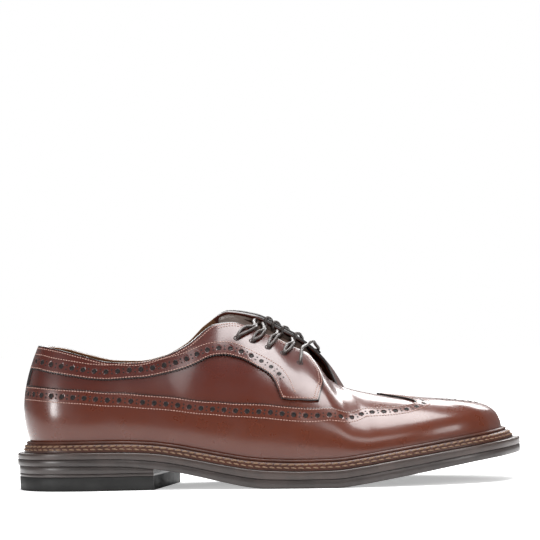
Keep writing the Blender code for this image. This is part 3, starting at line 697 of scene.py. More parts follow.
def smooth_path(points, count):
    """Evenly spread points along a smooth curve through the given ones."""
    points = np.array(points)
    reach = distances(points)
    wanted = np.linspace(0.0, reach[-1], count + 1)
    lanes = []
    for axis in range(3):
        slope = np.gradient(points[:, axis], reach)
        lanes.append(hermite(reach, points[:, axis], slope, wanted))
    return np.stack(lanes, axis=-1)


def align_nodes(tree, points, shape, wobble, seed, finish):
    """The end of both repeating trees: copies stood square to the surface, made real, with a finish."""
    nodes = tree.nodes
    links = tree.links
    up = nodes.new("GeometryNodeInputNamedAttribute")
    up.data_type = "FLOAT_VECTOR"
    up.inputs["Name"].default_value = "up"
    along = nodes.new("GeometryNodeInputNamedAttribute")
    along.data_type = "FLOAT_VECTOR"
    along.inputs["Name"].default_value = "along"
    stand = nodes.new("FunctionNodeAlignRotationToVector")
    stand.axis = "Z"
    links.new(up.outputs["Attribute"], stand.inputs["Vector"])
    turn = nodes.new("FunctionNodeAlignRotationToVector")
    turn.axis = "X"
    turn.pivot_axis = "Z"
    links.new(stand.outputs["Rotation"], turn.inputs["Rotation"])
    links.new(along.outputs["Attribute"], turn.inputs["Vector"])
    info = nodes.new("GeometryNodeObjectInfo")
    links.new(shape, info.inputs["Object"])
    size = nodes.new("FunctionNodeRandomValue")
    size.data_type = "FLOAT"
    least = nodes.new("ShaderNodeMath")
    least.operation = "SUBTRACT"
    least.inputs[0].default_value = 1.0
    links.new(wobble, least.inputs[1])
    most = nodes.new("ShaderNodeMath")
    most.operation = "ADD"
    most.inputs[0].default_value = 1.0
    links.new(wobble, most.inputs[1])
    links.new(least.outputs[0], size.inputs[2])
    links.new(most.outputs[0], size.inputs[3])
    links.new(seed, size.inputs["Seed"])
    copies = nodes.new("GeometryNodeInstanceOnPoints")
    links.new(points, copies.inputs["Points"])
    links.new(info.outputs["Geometry"], copies.inputs["Instance"])
    links.new(turn.outputs["Rotation"], copies.inputs["Rotation"])
    links.new(size.outputs[1], copies.inputs["Scale"])
    real = nodes.new("GeometryNodeRealizeInstances")
    links.new(copies.outputs["Instances"], real.inputs["Geometry"])
    dress = nodes.new("GeometryNodeSetMaterial")
    links.new(real.outputs["Geometry"], dress.inputs["Geometry"])
    links.new(finish, dress.inputs["Material"])
    out = nodes.new("NodeGroupOutput")
    links.new(dress.outputs["Geometry"], out.inputs[0])


def repeat_tree(name, along_path):
    """Node tree that sets one shape again and again along paths, or on each point."""
    if name in bpy.data.node_groups:
        return bpy.data.node_groups[name]
    tree = bpy.data.node_groups.new(name, "GeometryNodeTree")
    face = tree.interface
    face.new_socket("Path", in_out="INPUT", socket_type="NodeSocketGeometry")
    face.new_socket("Shape", in_out="INPUT", socket_type="NodeSocketObject")
    face.new_socket("Spacing", in_out="INPUT", socket_type="NodeSocketFloat")
    face.new_socket("Wobble", in_out="INPUT", socket_type="NodeSocketFloat")
    face.new_socket("Seed", in_out="INPUT", socket_type="NodeSocketInt")
    face.new_socket("Finish", in_out="INPUT", socket_type="NodeSocketMaterial")
    face.new_socket("Geometry", in_out="OUTPUT", socket_type="NodeSocketGeometry")
    given = tree.nodes.new("NodeGroupInput")
    points = given.outputs["Path"]
    if along_path:
        curve = tree.nodes.new("GeometryNodeMeshToCurve")
        tree.links.new(points, curve.inputs["Mesh"])
        spread = tree.nodes.new("GeometryNodeResampleCurve")
        spread.mode = "LENGTH"
        tree.links.new(curve.outputs["Curve"], spread.inputs["Curve"])
        tree.links.new(given.outputs["Spacing"], spread.inputs["Length"])
        points = spread.outputs["Curve"]
    align_nodes(
        tree, points, given.outputs["Shape"], given.outputs["Wobble"], given.outputs["Seed"],
        given.outputs["Finish"],
    )
    return tree


def repeat(name, runs, shape, finish, spacing=None, wobble=0.0, seed=1):
    """Copies of a shape on runs of (points, up, along); with a spacing they follow each run's line."""
    points = np.vstack([run[0] for run in runs])
    ups = np.vstack([run[1] for run in runs])
    alongs = np.vstack([run[2] for run in runs])
    edges = []
    if spacing is not None:
        first = 0
        for run in runs:
            count = len(run[0])
            edges += [(first + k, first + k + 1) for k in range(count - 1)]
            first += count
    mesh = bpy.data.meshes.new(name)
    mesh.from_pydata(to_world(points).tolist(), edges, [])
    for label, values in (("up", ups), ("along", alongs)):
        layer = mesh.attributes.new(label, "FLOAT_VECTOR", "POINT")
        layer.data.foreach_set("vector", np.asarray(values, dtype=np.float32).ravel())
    made = bpy.data.objects.new(name, mesh)
    bpy.context.scene.collection.objects.link(made)
    spaced = spacing is not None
    tree = repeat_tree("repeat_along_path" if spaced else "repeat_on_points", spaced)
    modifier = made.modifiers.new("repeat", "NODES")
    modifier.node_group = tree
    values = {
        "Shape": shape,
        "Spacing": (spacing or 1.0) * MM,
        "Wobble": float(wobble),
        "Seed": seed,
        "Finish": finish,
    }
    for item in tree.interface.items_tree:
        if item.item_type == "SOCKET" and item.in_out == "INPUT" and item.name in values:
            modifier[item.identifier] = values[item.name]
    bpy.context.view_layer.update()
    graph = bpy.context.evaluated_depsgraph_get()
    real = bpy.data.meshes.new_from_object(made.evaluated_get(graph), depsgraph=graph)
    if len(real.polygons) == 0:
        raise RuntimeError("nothing was repeated for " + name)
    made.modifiers.remove(modifier)
    made.data = real
    real.name = name
    for label in ("up", "along"):
        if label in real.attributes:
            real.attributes.remove(real.attributes[label])
    return made


def ringed_shape(name, rings, crease):
    """A small closed object from rings of places in millimetres, one above another."""
    shape = bmesh.new()
    rows = []
    for ring in rings:
        rows.append([shape.verts.new((x * MM, y * MM, z * MM)) for x, y, z in ring])
    for a, b in zip(rows, rows[1:]):
        for i in range(len(a)):
            j = (i + 1) % len(a)
            shape.faces.new((a[i], a[j], b[j], b[i]))
    shape.faces.new(rows[-1])
    shape.faces.new(rows[0][::-1])
    bmesh.ops.recalc_face_normals(shape, faces=shape.faces[:])
    mesh = bpy.data.meshes.new(name)
    shape.to_mesh(mesh)
    shape.free()
    mesh.shade_smooth()
    mesh.set_sharp_from_angle(angle=math.radians(crease))
    made = bpy.data.objects.new(name, mesh)
    bpy.context.scene.collection.objects.link(made)
    return made


def turned_shape(name, radius, profile, sides):
    """A small round shape from (radius past the given one, height) rows."""
    rings = []
    for wider, height in profile:
        ring = []
        for i in range(sides):
            angle = 2.0 * math.pi * i / sides
            reach = radius + wider
            ring.append((reach * math.cos(angle), reach * math.sin(angle), height))
        rings.append(ring)
    return ringed_shape(name, rings, 50.0)


STITCH_SIDES = 6
STITCH_RINGS = (
    # share of the stitch's length, thickness, height
    (-0.5, 0.25, -0.5),
    (-0.34, 0.8, 0.35),
    (0.0, 1.0, 0.7),
    (0.34, 0.8, 0.35),
    (0.5, 0.25, -0.5),
)


def stitch_shape(name, length, width, height, slant=0.0):
    """One stitch: a short thread, thick in the middle and sinking at both ends."""
    rings = []
    for share, size, rise in STITCH_RINGS:
        ring = []
        for i in range(STITCH_SIDES):
            angle = 2.0 * math.pi * i / STITCH_SIDES
            x = share * length
            y = 0.5 * width * size * math.cos(angle) + slant * x
            ring.append((x, y, height * (rise + 0.6 * size * math.sin(angle))))
        rings.append(ring)
    return ringed_shape(name, rings, 80.0)


def drop(thing):
    bpy.data.objects.remove(thing, do_unlink=True)


def surface_run(path, lift):
    """(points, up, along) of a path of (turn, rise) on the upper."""
    points = LAST.at(path[:, 0], path[:, 1], np.full(len(path), lift))
    up = LAST.normal(path[:, 0], path[:, 1])
    along = unit(np.gradient(points, axis=0))
    return points, up, along


def dress(piece, slot, *nodes):
    """Every piece rides on the shoe's one body, and the named CAD parts are hidden; the slot is not used."""
    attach(piece, "root")
    if nodes:
        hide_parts(*nodes)


def group_tree(name, inputs, outputs):
    """An empty shader group with named sockets; inputs are (name, type, default)."""
    tree = bpy.data.node_groups.new(name, "ShaderNodeTree")
    for label, kind, default in inputs:
        socket = tree.interface.new_socket(label, in_out="INPUT", socket_type=kind)
        socket.default_value = default
    for label, kind in outputs:
        tree.interface.new_socket(label, in_out="OUTPUT", socket_type=kind)
    return tree


def maths(tree, operation, first, second=None, clamp=False):
    node = tree.nodes.new("ShaderNodeMath")
    node.operation = operation
    node.use_clamp = clamp
    for i, value in enumerate((first, second)):
        if value is None:
            continue
        if isinstance(value, (int, float)):
            node.inputs[i].default_value = value
        else:
            tree.links.new(value, node.inputs[i])
    return node.outputs[0]


def blend_colours(tree, factor, first, second, mode="MIX"):
    node = tree.nodes.new("ShaderNodeMix")
    node.data_type = "RGBA"
    node.blend_type = mode
    for index, value in ((0, factor), (6, first), (7, second)):
        if isinstance(value, (int, float, tuple)):
            node.inputs[index].default_value = value
        else:
            tree.links.new(value, node.inputs[index])
    return node.outputs[2]


def noise(tree, vector, scale, detail=3.0, roughness=0.5):
    node = tree.nodes.new("ShaderNodeTexNoise")
    node.inputs["Scale"].default_value = scale
    node.inputs["Detail"].default_value = detail
    node.inputs["Roughness"].default_value = roughness
    tree.links.new(vector, node.inputs["Vector"])
    return node.outputs["Fac"]


def ramp(tree, value, low, high, out_low=0.0, out_high=1.0):
    node = tree.nodes.new("ShaderNodeMapRange")
    node.interpolation_type = "SMOOTHSTEP"
    tree.links.new(value, node.inputs["Value"])
    node.inputs["From Min"].default_value = low
    node.inputs["From Max"].default_value = high
    node.inputs["To Min"].default_value = out_low
    node.inputs["To Max"].default_value = out_high
    return node.outputs["Result"]


def make_grain_group():
    """Leather grain: a height for bump, and a soft mottle from 0 to 1."""
    inputs = (
        ("Vector", "NodeSocketVector", (0.0, 0.0, 0.0)),
        ("Grain", "NodeSocketFloat", 1.0),
        ("Waves", "NodeSocketFloat", 1.0),
    )
    outputs = (("Height", "NodeSocketFloat"), ("Mottle", "NodeSocketFloat"))
    tree = group_tree("leather_grain", inputs, outputs)
    given = tree.nodes.new("NodeGroupInput")
    vector = given.outputs["Vector"]
    pores = tree.nodes.new("ShaderNodeTexVoronoi")
    pores.feature = "DISTANCE_TO_EDGE"
    pores.inputs["Scale"].default_value = 1500.0
    tree.links.new(vector, pores.inputs["Vector"])
    cells = ramp(tree, pores.outputs["Distance"], 0.0, 0.22)
    fine = maths(tree, "MULTIPLY", cells, given.outputs["Grain"])
    slow = maths(tree, "MULTIPLY", noise(tree, vector, 210.0, 4.0, 0.55), given.outputs["Waves"])
    height = maths(tree, "ADD", maths(tree, "MULTIPLY", fine, 0.16), slow)
    mottle = ramp(tree, noise(tree, vector, 65.0, 4.0, 0.6), 0.3, 0.7)
    out = tree.nodes.new("NodeGroupOutput")
    tree.links.new(height, out.inputs["Height"])
    tree.links.new(mottle, out.inputs["Mottle"])
    return tree


def make_painted_light_group():
    """Calf colour: warmer low on the shoe where a painted reflection of the pale floor lies, deeper high up,
    darker near cut edges with ink and painted shade, and hand-finished in blotches.
    """
    inputs = (
        ("Vector", "NodeSocketVector", (0.0, 0.0, 0.0)),
        ("Reflected Low", "NodeSocketColor", (0.3, 0.08, 0.03, 1.0)),
        ("Deep", "NodeSocketColor", (0.12, 0.03, 0.02, 1.0)),
        ("Edge Ink And Shade", "NodeSocketColor", (0.03, 0.01, 0.008, 1.0)),
        ("Mottle", "NodeSocketFloat", 0.5),
        ("Edge Distance", "NodeSocketFloat", 10.0),
        ("Low", "NodeSocketFloat", 0.03),
        ("High", "NodeSocketFloat", 0.07),
    )
    tree = group_tree("burnished_colour", inputs, (("Color", "NodeSocketColor"),))
    given = tree.nodes.new("NodeGroupInput")
    split = tree.nodes.new("ShaderNodeSeparateXYZ")
    tree.links.new(given.outputs["Vector"], split.inputs[0])
    span = maths(tree, "SUBTRACT", given.outputs["High"], given.outputs["Low"])
    height = maths(tree, "SUBTRACT", split.outputs["Z"], given.outputs["Low"])
    share = maths(tree, "DIVIDE", height, span, clamp=True)
    blotch = maths(tree, "MULTIPLY", maths(tree, "SUBTRACT", given.outputs["Mottle"], 0.5), 0.2)
    share = maths(tree, "ADD", share, blotch, clamp=True)
    # Painted floor reflection: the colour is warmer low on the shoe and deeper high up
    colour = blend_colours(tree, share, given.outputs["Reflected Low"], given.outputs["Deep"])
    # Ink on the cut edges and painted shade along them darken the colour near an edge
    near = ramp(tree, given.outputs["Edge Distance"], 0.25, 0.95, 1.0, 0.0)
    colour = blend_colours(tree, near, colour, given.outputs["Edge Ink And Shade"])
    out = tree.nodes.new("NodeGroupOutput")
    tree.links.new(colour, out.inputs["Color"])
    return tree


def new_finish(name):
    finish = bpy.data.materials.new(name)
    finish.use_nodes = True
    tree = finish.node_tree
    shader = tree.nodes["Principled BSDF"]
    where = tree.nodes.new("ShaderNodeTexCoord")
    return finish, tree, shader, where.outputs["Object"]


def placed_group(tree, group, values):
    node = tree.nodes.new("ShaderNodeGroup")
    node.node_tree = group
    for label, value in values.items():
        if isinstance(value, (int, float, tuple)):
            node.inputs[label].default_value = value
        else:
            tree.links.new(value, node.inputs[label])
    return node


def add_bump(tree, shader, height, strength, distance):
    bump = tree.nodes.new("ShaderNodeBump")
    bump.inputs["Strength"].default_value = strength
    bump.inputs["Distance"].default_value = distance * MM
    tree.links.new(height, bump.inputs["Height"])
    tree.links.new(bump.outputs["Normal"], shader.inputs["Normal"])


def own_measure(tree):
    """The piece's own measure: X along it, Y the distance from its cut edge or the way round it."""
    layer = tree.nodes.new("ShaderNodeUVMap")
    layer.uv_map = "measure"
    split = tree.nodes.new("ShaderNodeSeparateXYZ")
    tree.links.new(layer.outputs["UV"], split.inputs[0])
    return split.outputs


# Heights between which the calf's colour goes from warm to deep as its painted floor reflection fades out, in
# metres
REFLECTION_LOW = 0.03
REFLECTION_HIGH = 0.07


def polished_leather(name, groups, reflected_low, deep, edge):
    """Glossy calf with a wax coat, warmer low down with a painted floor reflection, and dark along its cut
    edges with ink and painted shade.
    """
    finish, tree, shader, where = new_finish(name)
    grain = placed_group(tree, groups["grain"], {"Vector": where, "Grain": 0.5, "Waves": 1.0})
    colour = placed_group(tree, groups["painted_light"], {
        "Vector": where, "Reflected Low": (*reflected_low, 1.0), "Deep": (*deep, 1.0), "Edge Ink And Shade": (*edge, 1.0),
        "Mottle": grain.outputs["Mottle"], "Edge Distance": own_measure(tree)["Y"],
        "Low": REFLECTION_LOW, "High": REFLECTION_HIGH,
    })
    tree.links.new(colour.outputs["Color"], shader.inputs["Base Color"])
    rough = ramp(tree, grain.outputs["Mottle"], 0.0, 1.0, 0.27, 0.36)
    tree.links.new(rough, shader.inputs["Roughness"])
    shader.inputs["Coat Weight"].default_value = 0.6
    shader.inputs["Coat Roughness"].default_value = 0.16
    shader.inputs["Specular IOR Level"].default_value = 0.45
    add_bump(tree, shader, grain.outputs["Height"], 0.16, 0.1)
    return finish


def plain_leather(name, groups, light, dark, roughness, bump=0.4, coat=0.0):
    """Unpolished leather, with its colour clouded between two shades."""
    finish, tree, shader, where = new_finish(name)
    grain = placed_group(tree, groups["grain"], {"Vector": where, "Grain": 1.0, "Waves": 0.8})
    colour = blend_colours(tree, grain.outputs["Mottle"], (*light, 1.0), (*dark, 1.0))
    tree.links.new(colour, shader.inputs["Base Color"])
    rough = ramp(tree, grain.outputs["Mottle"], 0.0, 1.0, roughness - 0.05, roughness + 0.08)
    tree.links.new(rough, shader.inputs["Roughness"])
    shader.inputs["Coat Weight"].default_value = coat
    shader.inputs["Coat Roughness"].default_value = 0.25
    shader.inputs["Specular IOR Level"].default_value = 0.3
    add_bump(tree, shader, grain.outputs["Height"], bump, 0.15)
    return finish


def layered_edge(name, groups, light, dark, roughness, coat):
    """A trimmed and inked sole edge: fine lines along it and soft blotches."""
    finish, tree, shader, where = new_finish(name)
    grain = placed_group(tree, groups["grain"], {"Vector": where, "Grain": 0.6, "Waves": 0.6})
    squash = tree.nodes.new("ShaderNodeMapping")
    squash.inputs["Scale"].default_value = (25.0, 25.0, 900.0)
    tree.links.new(where, squash.inputs["Vector"])
    lines = noise(tree, squash.outputs["Vector"], 1.0, 3.0, 0.6)
    streaks = maths(tree, "MULTIPLY", lines, 0.6)
    clouds = maths(tree, "MULTIPLY", grain.outputs["Mottle"], 0.5)
    share = maths(tree, "ADD", streaks, clouds)
    colour = blend_colours(tree, ramp(tree, share, 0.25, 0.85), (*dark, 1.0), (*light, 1.0))
    tree.links.new(colour, shader.inputs["Base Color"])
    rough = ramp(tree, lines, 0.2, 0.8, roughness - 0.06, roughness + 0.1)
    tree.links.new(rough, shader.inputs["Roughness"])
    shader.inputs["Coat Weight"].default_value = coat
    shader.inputs["Coat Roughness"].default_value = 0.3
    height = maths(tree, "ADD", streaks, maths(tree, "MULTIPLY", grain.outputs["Height"], 0.3))
    add_bump(tree, shader, height, 0.3, 0.2)
    return finish


def clouded_finish(name, colour, shade, scale, rough, bump):
    """One colour clouded towards a darker shade of it, for thread and for the painted shade inside a hole."""
    finish, tree, shader, where = new_finish(name)
    mottle = noise(tree, where, scale, 2.0)
    dark = tuple(shade * c for c in colour)
    blend = blend_colours(tree, mottle, (*dark, 1.0), (*colour, 1.0))
    tree.links.new(blend, shader.inputs["Base Color"])
    tree.links.new(ramp(tree, mottle, 0.3, 0.7, rough[0], rough[1]), shader.inputs["Roughness"])
    add_bump(tree, shader, mottle, bump, 0.1)
    return finish


def twisted_thread(name, colour, roughness):
    return clouded_finish(name, colour, 0.55, 900.0, (roughness - 0.08, roughness + 0.08), 0.4)


# Painted shade: a near-black colour for the inside of the holes and round the eyelets
def painted_shade_hole(name, colour):
    return clouded_finish(name, colour, 0.4, 700.0, (0.6, 0.8), 0.3)


def waxed_cord(name, colour, roughness):
    """Round braided lace: slanting strands along its own measure, the grooves between them darker with
    painted shade.
    """
    finish, tree, shader, where = new_finish(name)
    measure = own_measure(tree)
    reach = maths(tree, "MULTIPLY", measure["X"], 4.2)
    way = maths(tree, "MULTIPLY", measure["Y"], 2.0 * math.pi * 4.0)
    left = maths(tree, "SINE", maths(tree, "ADD", reach, way))
    right = maths(tree, "SINE", maths(tree, "SUBTRACT", reach, way))
    braid = maths(tree, "MAXIMUM", left, right)
    share = ramp(tree, braid, -0.2, 1.0)
    # Painted shade: the grooves between the strands are coloured darker
    dark = tuple(0.5 * c for c in colour)
    blend = blend_colours(tree, share, (*dark, 1.0), (*colour, 1.0))
    tree.links.new(blend, shader.inputs["Base Color"])
    fuzz = noise(tree, where, 1400.0, 2.0)
    rough = ramp(tree, fuzz, 0.3, 0.7, roughness - 0.08, roughness + 0.08)
    tree.links.new(rough, shader.inputs["Roughness"])
    shader.inputs["Coat Weight"].default_value = 0.35
    shader.inputs["Coat Roughness"].default_value = 0.3
    add_bump(tree, shader, share, 0.5, 0.18)
    return finish


# Distances from the pinked edge at which the lines of each overlay lie, closest round the holes
WING_SPREAD = (
    0.0, 0.28, 0.65, 1.1, 1.7, 2.4, 3.1, 3.6, 4.05, 4.5, 4.95, 5.4, 5.85, 6.3, 6.8, 7.4, 8.2, 9.1, 10.2,
)
TRIM_SPREAD = (
    0.0, 0.28, 0.65, 1.1, 1.7, 2.5, 3.3, 3.8, 4.25, 4.7, 5.15, 5.6, 6.05, 6.5, 7.1, 8.0, 9.0,
)
# Lines of each overlay past those, and the lines of the wing that its underside keeps
LINES_BEYOND = 14
WING_UNDER_LINES = (0, 5, 10, 15, 18)
# How far the overlays' first line and the trim's top line lie below their own surface
EDGE_SINK = 0.1
BRIM_SINK = 0.12
# How far the underside stands back from the teeth, and the cut face leans outwards
UNDERCUT = 0.1
CUT_LEAN = 0.04
# Reach and depth of the dimple under each large hole, the holes' distance from the pinked edges,
# and the rows where the tab's corner and the trim's holes end
HOLE_REACH = 1.5
HOLE_DEPTH = 0.9
WING_HOLE_ROW = 5.2
TRIM_HOLE_ROW = 5.3
TAB_CORNER_ROW = 9.86
TRIM_HOLE_END = 9.74
# Holes of the trim beyond this row are discs of painted shade on the leather, where the strip bends sharply
TRIM_DISC_ROW = 9.2
# Toe medallion, a plain rosette: along from its middle, across, and which hole
MEDALLION_MIDDLE = (271.0, 2.6)
MEDALLION = (
    # along, across, big
    (4.6, 0.0, 1),
    (-13.5, 14.0, 1),
    (-13.5, -14.0, 1),
    (9.0, 0.0, 0),
    (8.0, 3.6, 0),
    (8.0, -3.6, 0),
    (4.6, 5.4, 0),
    (4.6, -5.4, 0),
    (0.6, 4.2, 0),
    (0.6, -4.2, 0),
    (0.2, 8.2, 0),
    (0.2, -8.2, 0),
    (-3.0, 10.6, 0),
    (-3.0, -10.6, 0),
    (-4.2, 6.6, 0),
    (-4.2, -6.6, 0),
    (-4.0, 0.0, 0),
    (-7.4, 3.0, 0),
    (-7.4, -3.0, 0),
    (-8.6, 9.2, 0),
    (-8.6, -9.2, 0),
    (-8.0, 13.6, 0),
    (-8.0, -13.6, 0),
    (-10.8, 17.2, 0),
    (-10.8, -17.2, 0),
)


def signed_turn(row):
    """Turn of a row number that is negative on the medial side."""
    return row / ROWS


def wing_path():
    turn = np.linspace(0.0, 2.0, 2600)
    return np.stack((turn, wing_edge(turn)), axis=1)


def trim_turns(rows, rises):
    """Turns of the quarter trim at signed rows, its front end following the tab's edge."""
    pull = np.clip((np.abs(rows) - (TAB_ROW - TAB_BLEND_ROWS)) / TAB_BLEND_ROWS, 0.0, 1.0)
    reach = np.abs(rows) + (tab_front(rises) - TAB_ROW) * pull
    return signed_turn(np.sign(rows) * reach)


def trim_path(last):
    """The quarter trim's lower edge from the medial side, round the heel, to the lateral side."""
    row = np.linspace(-last, last, 2200)
    rise = trim_curve(np.abs(row))
    return np.stack((trim_turns(row, rise), rise), axis=1)


def collar_path(first, last):
    """The collar's and facing's edge between two signed rows."""
    row = np.linspace(first, last, 1800)
    turn = signed_turn(row)
    return np.stack((turn, LAST.brim(turn)), axis=1)


def tab_path(side):
    """The eyelet tab's front edge, from its foot to the throat; side is 1 lateral, -1 medial."""
    low = float(trim_curve(TAB_ROW)) + 0.012
    rise = np.linspace(low, float(LAST.brim(signed_turn(TAB_ROW))) - 0.02, 200)
    return np.stack((signed_turn(side * tab_front(rise)), rise), axis=1)


def big_holes(sizes):
    """Centres of the large holes of both strips as (turn, rise)."""
    pitch = sizes.hole_pitch / MM
    wing = resample(offset_path(wing_path(), WING_HOLE_ROW), pitch, 0.5 * pitch)
    trim = resample(offset_path(trim_path(TRIM_HOLE_END), -TRIM_HOLE_ROW), pitch, 0.5 * pitch)
    return wing, trim


def medallion_places():
    """(turn, rise, big) of the medallion's holes, found on the toe by their plan."""
    turn = np.linspace(0.78, 1.22, 260)[:, None]
    rise = np.linspace(0.15, 0.92, 260)[None, :]
    turn, rise = np.broadcast_arrays(turn, rise)
    plan = LAST.point(turn, rise)[..., :2].reshape(-1, 2)
    places = []
    for along, across, big in MEDALLION:
        wanted = np.array((MEDALLION_MIDDLE[0] + along, MEDALLION_MIDDLE[1] + across))
        k = int(np.argmin(np.linalg.norm(plan - wanted, axis=1)))
        places.append((turn.ravel()[k], rise.ravel()[k], big))
    return np.array(places)


def dimples(points, holes):
    """How far each point is punched in by the large holes, in millimetres."""
    depth = np.zeros(points.shape[:-1])
    flat = points.reshape(-1, 3)
    pressed = depth.reshape(-1)
    for hole in holes:
        near = np.nonzero(np.abs(flat[:, 0] - hole[0]) < HOLE_REACH)[0]
        away = np.linalg.norm(flat[near] - hole, axis=1)
        share = np.clip((HOLE_REACH - away) / 0.4, 0.0, 1.0)
        pressed[near] = np.maximum(pressed[near], HOLE_DEPTH * share)
    return pressed.reshape(depth.shape)


def relief(points):
    return soft_waves(points) - creases(points)


def lifted(turns, rises, lift):
    points = LAST.point(turns, rises)
    return points + LAST.normal(turns, rises) * (lift + relief(points))[..., None]


def stand_on_sole(points):
    points[..., 2] = over(points[..., 0]) + GAP
    return points


def tooth_depth(count, teeth_share, depth):
    """How far each column of an edge is cut in by the pinking."""
    cycle = np.array((0.0, 0.55, 1.0, 0.55))
    return depth * cycle[np.arange(count) % 4] * teeth_share


def pinked(points, edge_tangent, edge_normal, depth, square):
    """Moves the rows near an edge inwards by the depth of its teeth."""
    inward = np.cross(edge_tangent, edge_normal)
    toward = (inward * (points[:, 2] - points[:, 0])).sum(axis=1)
    inward = inward * np.sign(toward)[:, None]
    fade = np.clip(1.0 - square / 2.2, 0.0, 1.0)
    return points + inward[:, None] * (depth[:, None] * fade)[..., None], inward


def make_wing(sizes, finishes):
    """The long wing: toe cap and foxing in one band, pinked and punched."""
    count = 4 * int(round(even_turns(wing_edge, 4)[1] / (sizes.tooth_pitch / MM)))
    turns, length = even_turns(wing_edge, count)
    edge = wing_edge(turns)

    def turn_at(rises):
        return np.broadcast_to(turns[:, None], rises.shape)

    rises, square = line_grid(turn_at, edge, np.zeros(count), WING_SPREAD, LINES_BEYOND)
    grid = turn_at(rises)
    holes = big_holes(sizes)[0]
    centres = LAST.point(holes[:, 0], holes[:, 1])
    outer = LAST.point(grid, rises)
    lift = relief(outer) - dimples(outer, centres)
    lift[:, 0] -= EDGE_SINK
    outer = outer + LAST.normal(grid, rises) * lift[..., None]
    outer[:, -1] = stand_on_sole(outer[:, -1])
    track = LAST.point(turns, edge)
    tangent = unit(np.roll(track, -1, axis=0) - np.roll(track, 1, axis=0))
    normal = LAST.normal(turns, edge)
    depth = tooth_depth(count, 1.0, sizes.tooth_depth / MM)
    outer, inward = pinked(outer, tangent, normal, depth, square)
    last_line = len(WING_SPREAD) + LINES_BEYOND - 1
    kept = list(WING_UNDER_LINES) + list(range(20, last_line, 2)) + [last_line]
    inner = lifted(grid[:, kept], rises[:, kept], OVERLAY_UNDERSIDE)
    inner[:, -1] = stand_on_sole(inner[:, -1])
    inner[:, 0] += inward * (depth + UNDERCUT)[:, None]
    cut = outer[:, :1] - normal[:, None] * 0.45 - inward[:, None] * CUT_LEAN
    section = np.concatenate((outer[:, ::-1], cut, inner), axis=1)
    reach = np.linspace(0.0, length, count)
    measure = np.zeros(section.shape[:2] + (2,))
    measure[..., 0] = reach[:, None]
    measure[:, : rises.shape[1], 1] = square[:, ::-1]
    return sweep("wing_overlay_leather", section, True, finishes, measure)


def make_trim(sizes, finishes):
    """Collar strip and eyelet facings in one band, from one tab round the heel to the other."""
    fine = np.linspace(-TAB_ROW, TAB_ROW, 4000)
    fine_rise = trim_curve(np.abs(fine))
    fine_track = LAST.point(trim_turns(fine, fine_rise), fine_rise)
    reach = distances(fine_track)
    count = 4 * int(round(reach[-1] / (sizes.tooth_pitch / MM)))
    rows = np.interp(np.linspace(0.0, reach[-1], count + 1), reach, fine)
    low = trim_curve(np.abs(rows))
    brim = LAST.brim(signed_turn(rows))

    def turn_at(rises):
        return trim_turns(np.broadcast_to(rows[:, None], rises.shape), rises)

    rises, square = line_grid(turn_at, low, brim, TRIM_SPREAD, LINES_BEYOND)
    grid = turn_at(rises)
    holes = big_holes(sizes)[1]
    outer = LAST.point(grid, rises)
    punched = holes[np.abs(holes[:, 0]) * ROWS < TRIM_DISC_ROW]
    centres = LAST.point(punched[:, 0], punched[:, 1])
    lift = relief(outer) - dimples(outer, centres)
    lift[:, 0] -= EDGE_SINK
    lift[:, -1] -= BRIM_SINK
    lift[0] -= EDGE_SINK
    lift[-1] -= EDGE_SINK
    outer = outer + LAST.normal(grid, rises) * lift[..., None]
    track = LAST.point(grid[:, 0], rises[:, 0])
    tangent = unit(np.gradient(track, axis=0))
    normal = LAST.normal(grid[:, 0], rises[:, 0])
    teeth = np.clip((TAB_CORNER_ROW - 0.04 - np.abs(rows)) / 0.06, 0.0, 1.0)
    depth = tooth_depth(count + 1, teeth, sizes.tooth_depth / MM)
    outer, inward = pinked(outer, tangent, normal, depth, square)
    inner = lifted(grid, rises, OVERLAY_UNDERSIDE)
    inner[:, 0] += inward * (depth + UNDERCUT)[:, None]
    up = unit(outer[:, -1] - outer[:, -2])
    brim_normal = LAST.normal(grid[:, -1], rises[:, -1])
    low_cut = outer[:, :1] - normal[:, None] * 0.4 - inward[:, None] * CUT_LEAN
    low_in = low_cut - normal[:, None] * 0.35
    top_cut = outer[:, -1:] + up[:, None] * 0.16 - brim_normal[:, None] * 0.3
    top_in = top_cut - brim_normal[:, None] * 0.4
    front = np.concatenate((low_cut, outer, top_cut), axis=1)
    back = np.concatenate((low_in, inner, top_in), axis=1)
    section = np.concatenate((front, back[:, ::-1]), axis=1)
    from_top = np.linalg.norm(outer - outer[:, -1:], axis=2)
    place = np.arange(count + 1)
    from_end = np.minimum(place, count - place) * (sizes.tooth_pitch / MM) / 4.0
    near = np.minimum(np.minimum(square, from_top), from_end[:, None])
    measure = np.zeros(section.shape[:2] + (2,))
    measure[..., 0] = np.linspace(0.0, reach[-1], count + 1)[:, None]
    measure[:, 1 : 1 + rises.shape[1], 1] = near
    return sweep("quarter_trim_leather", section, False, finishes, measure)


BACK_STRIP = (
    # across, above the overlays
    (-3.4, -1.2),
    (-3.2, -0.1),
    (-2.6, 0.12),
    (-1.3, 0.2),
    (0.0, 0.22),
    (1.3, 0.2),
    (2.6, 0.12),
    (3.2, -0.1),
    (3.4, -1.2),
)


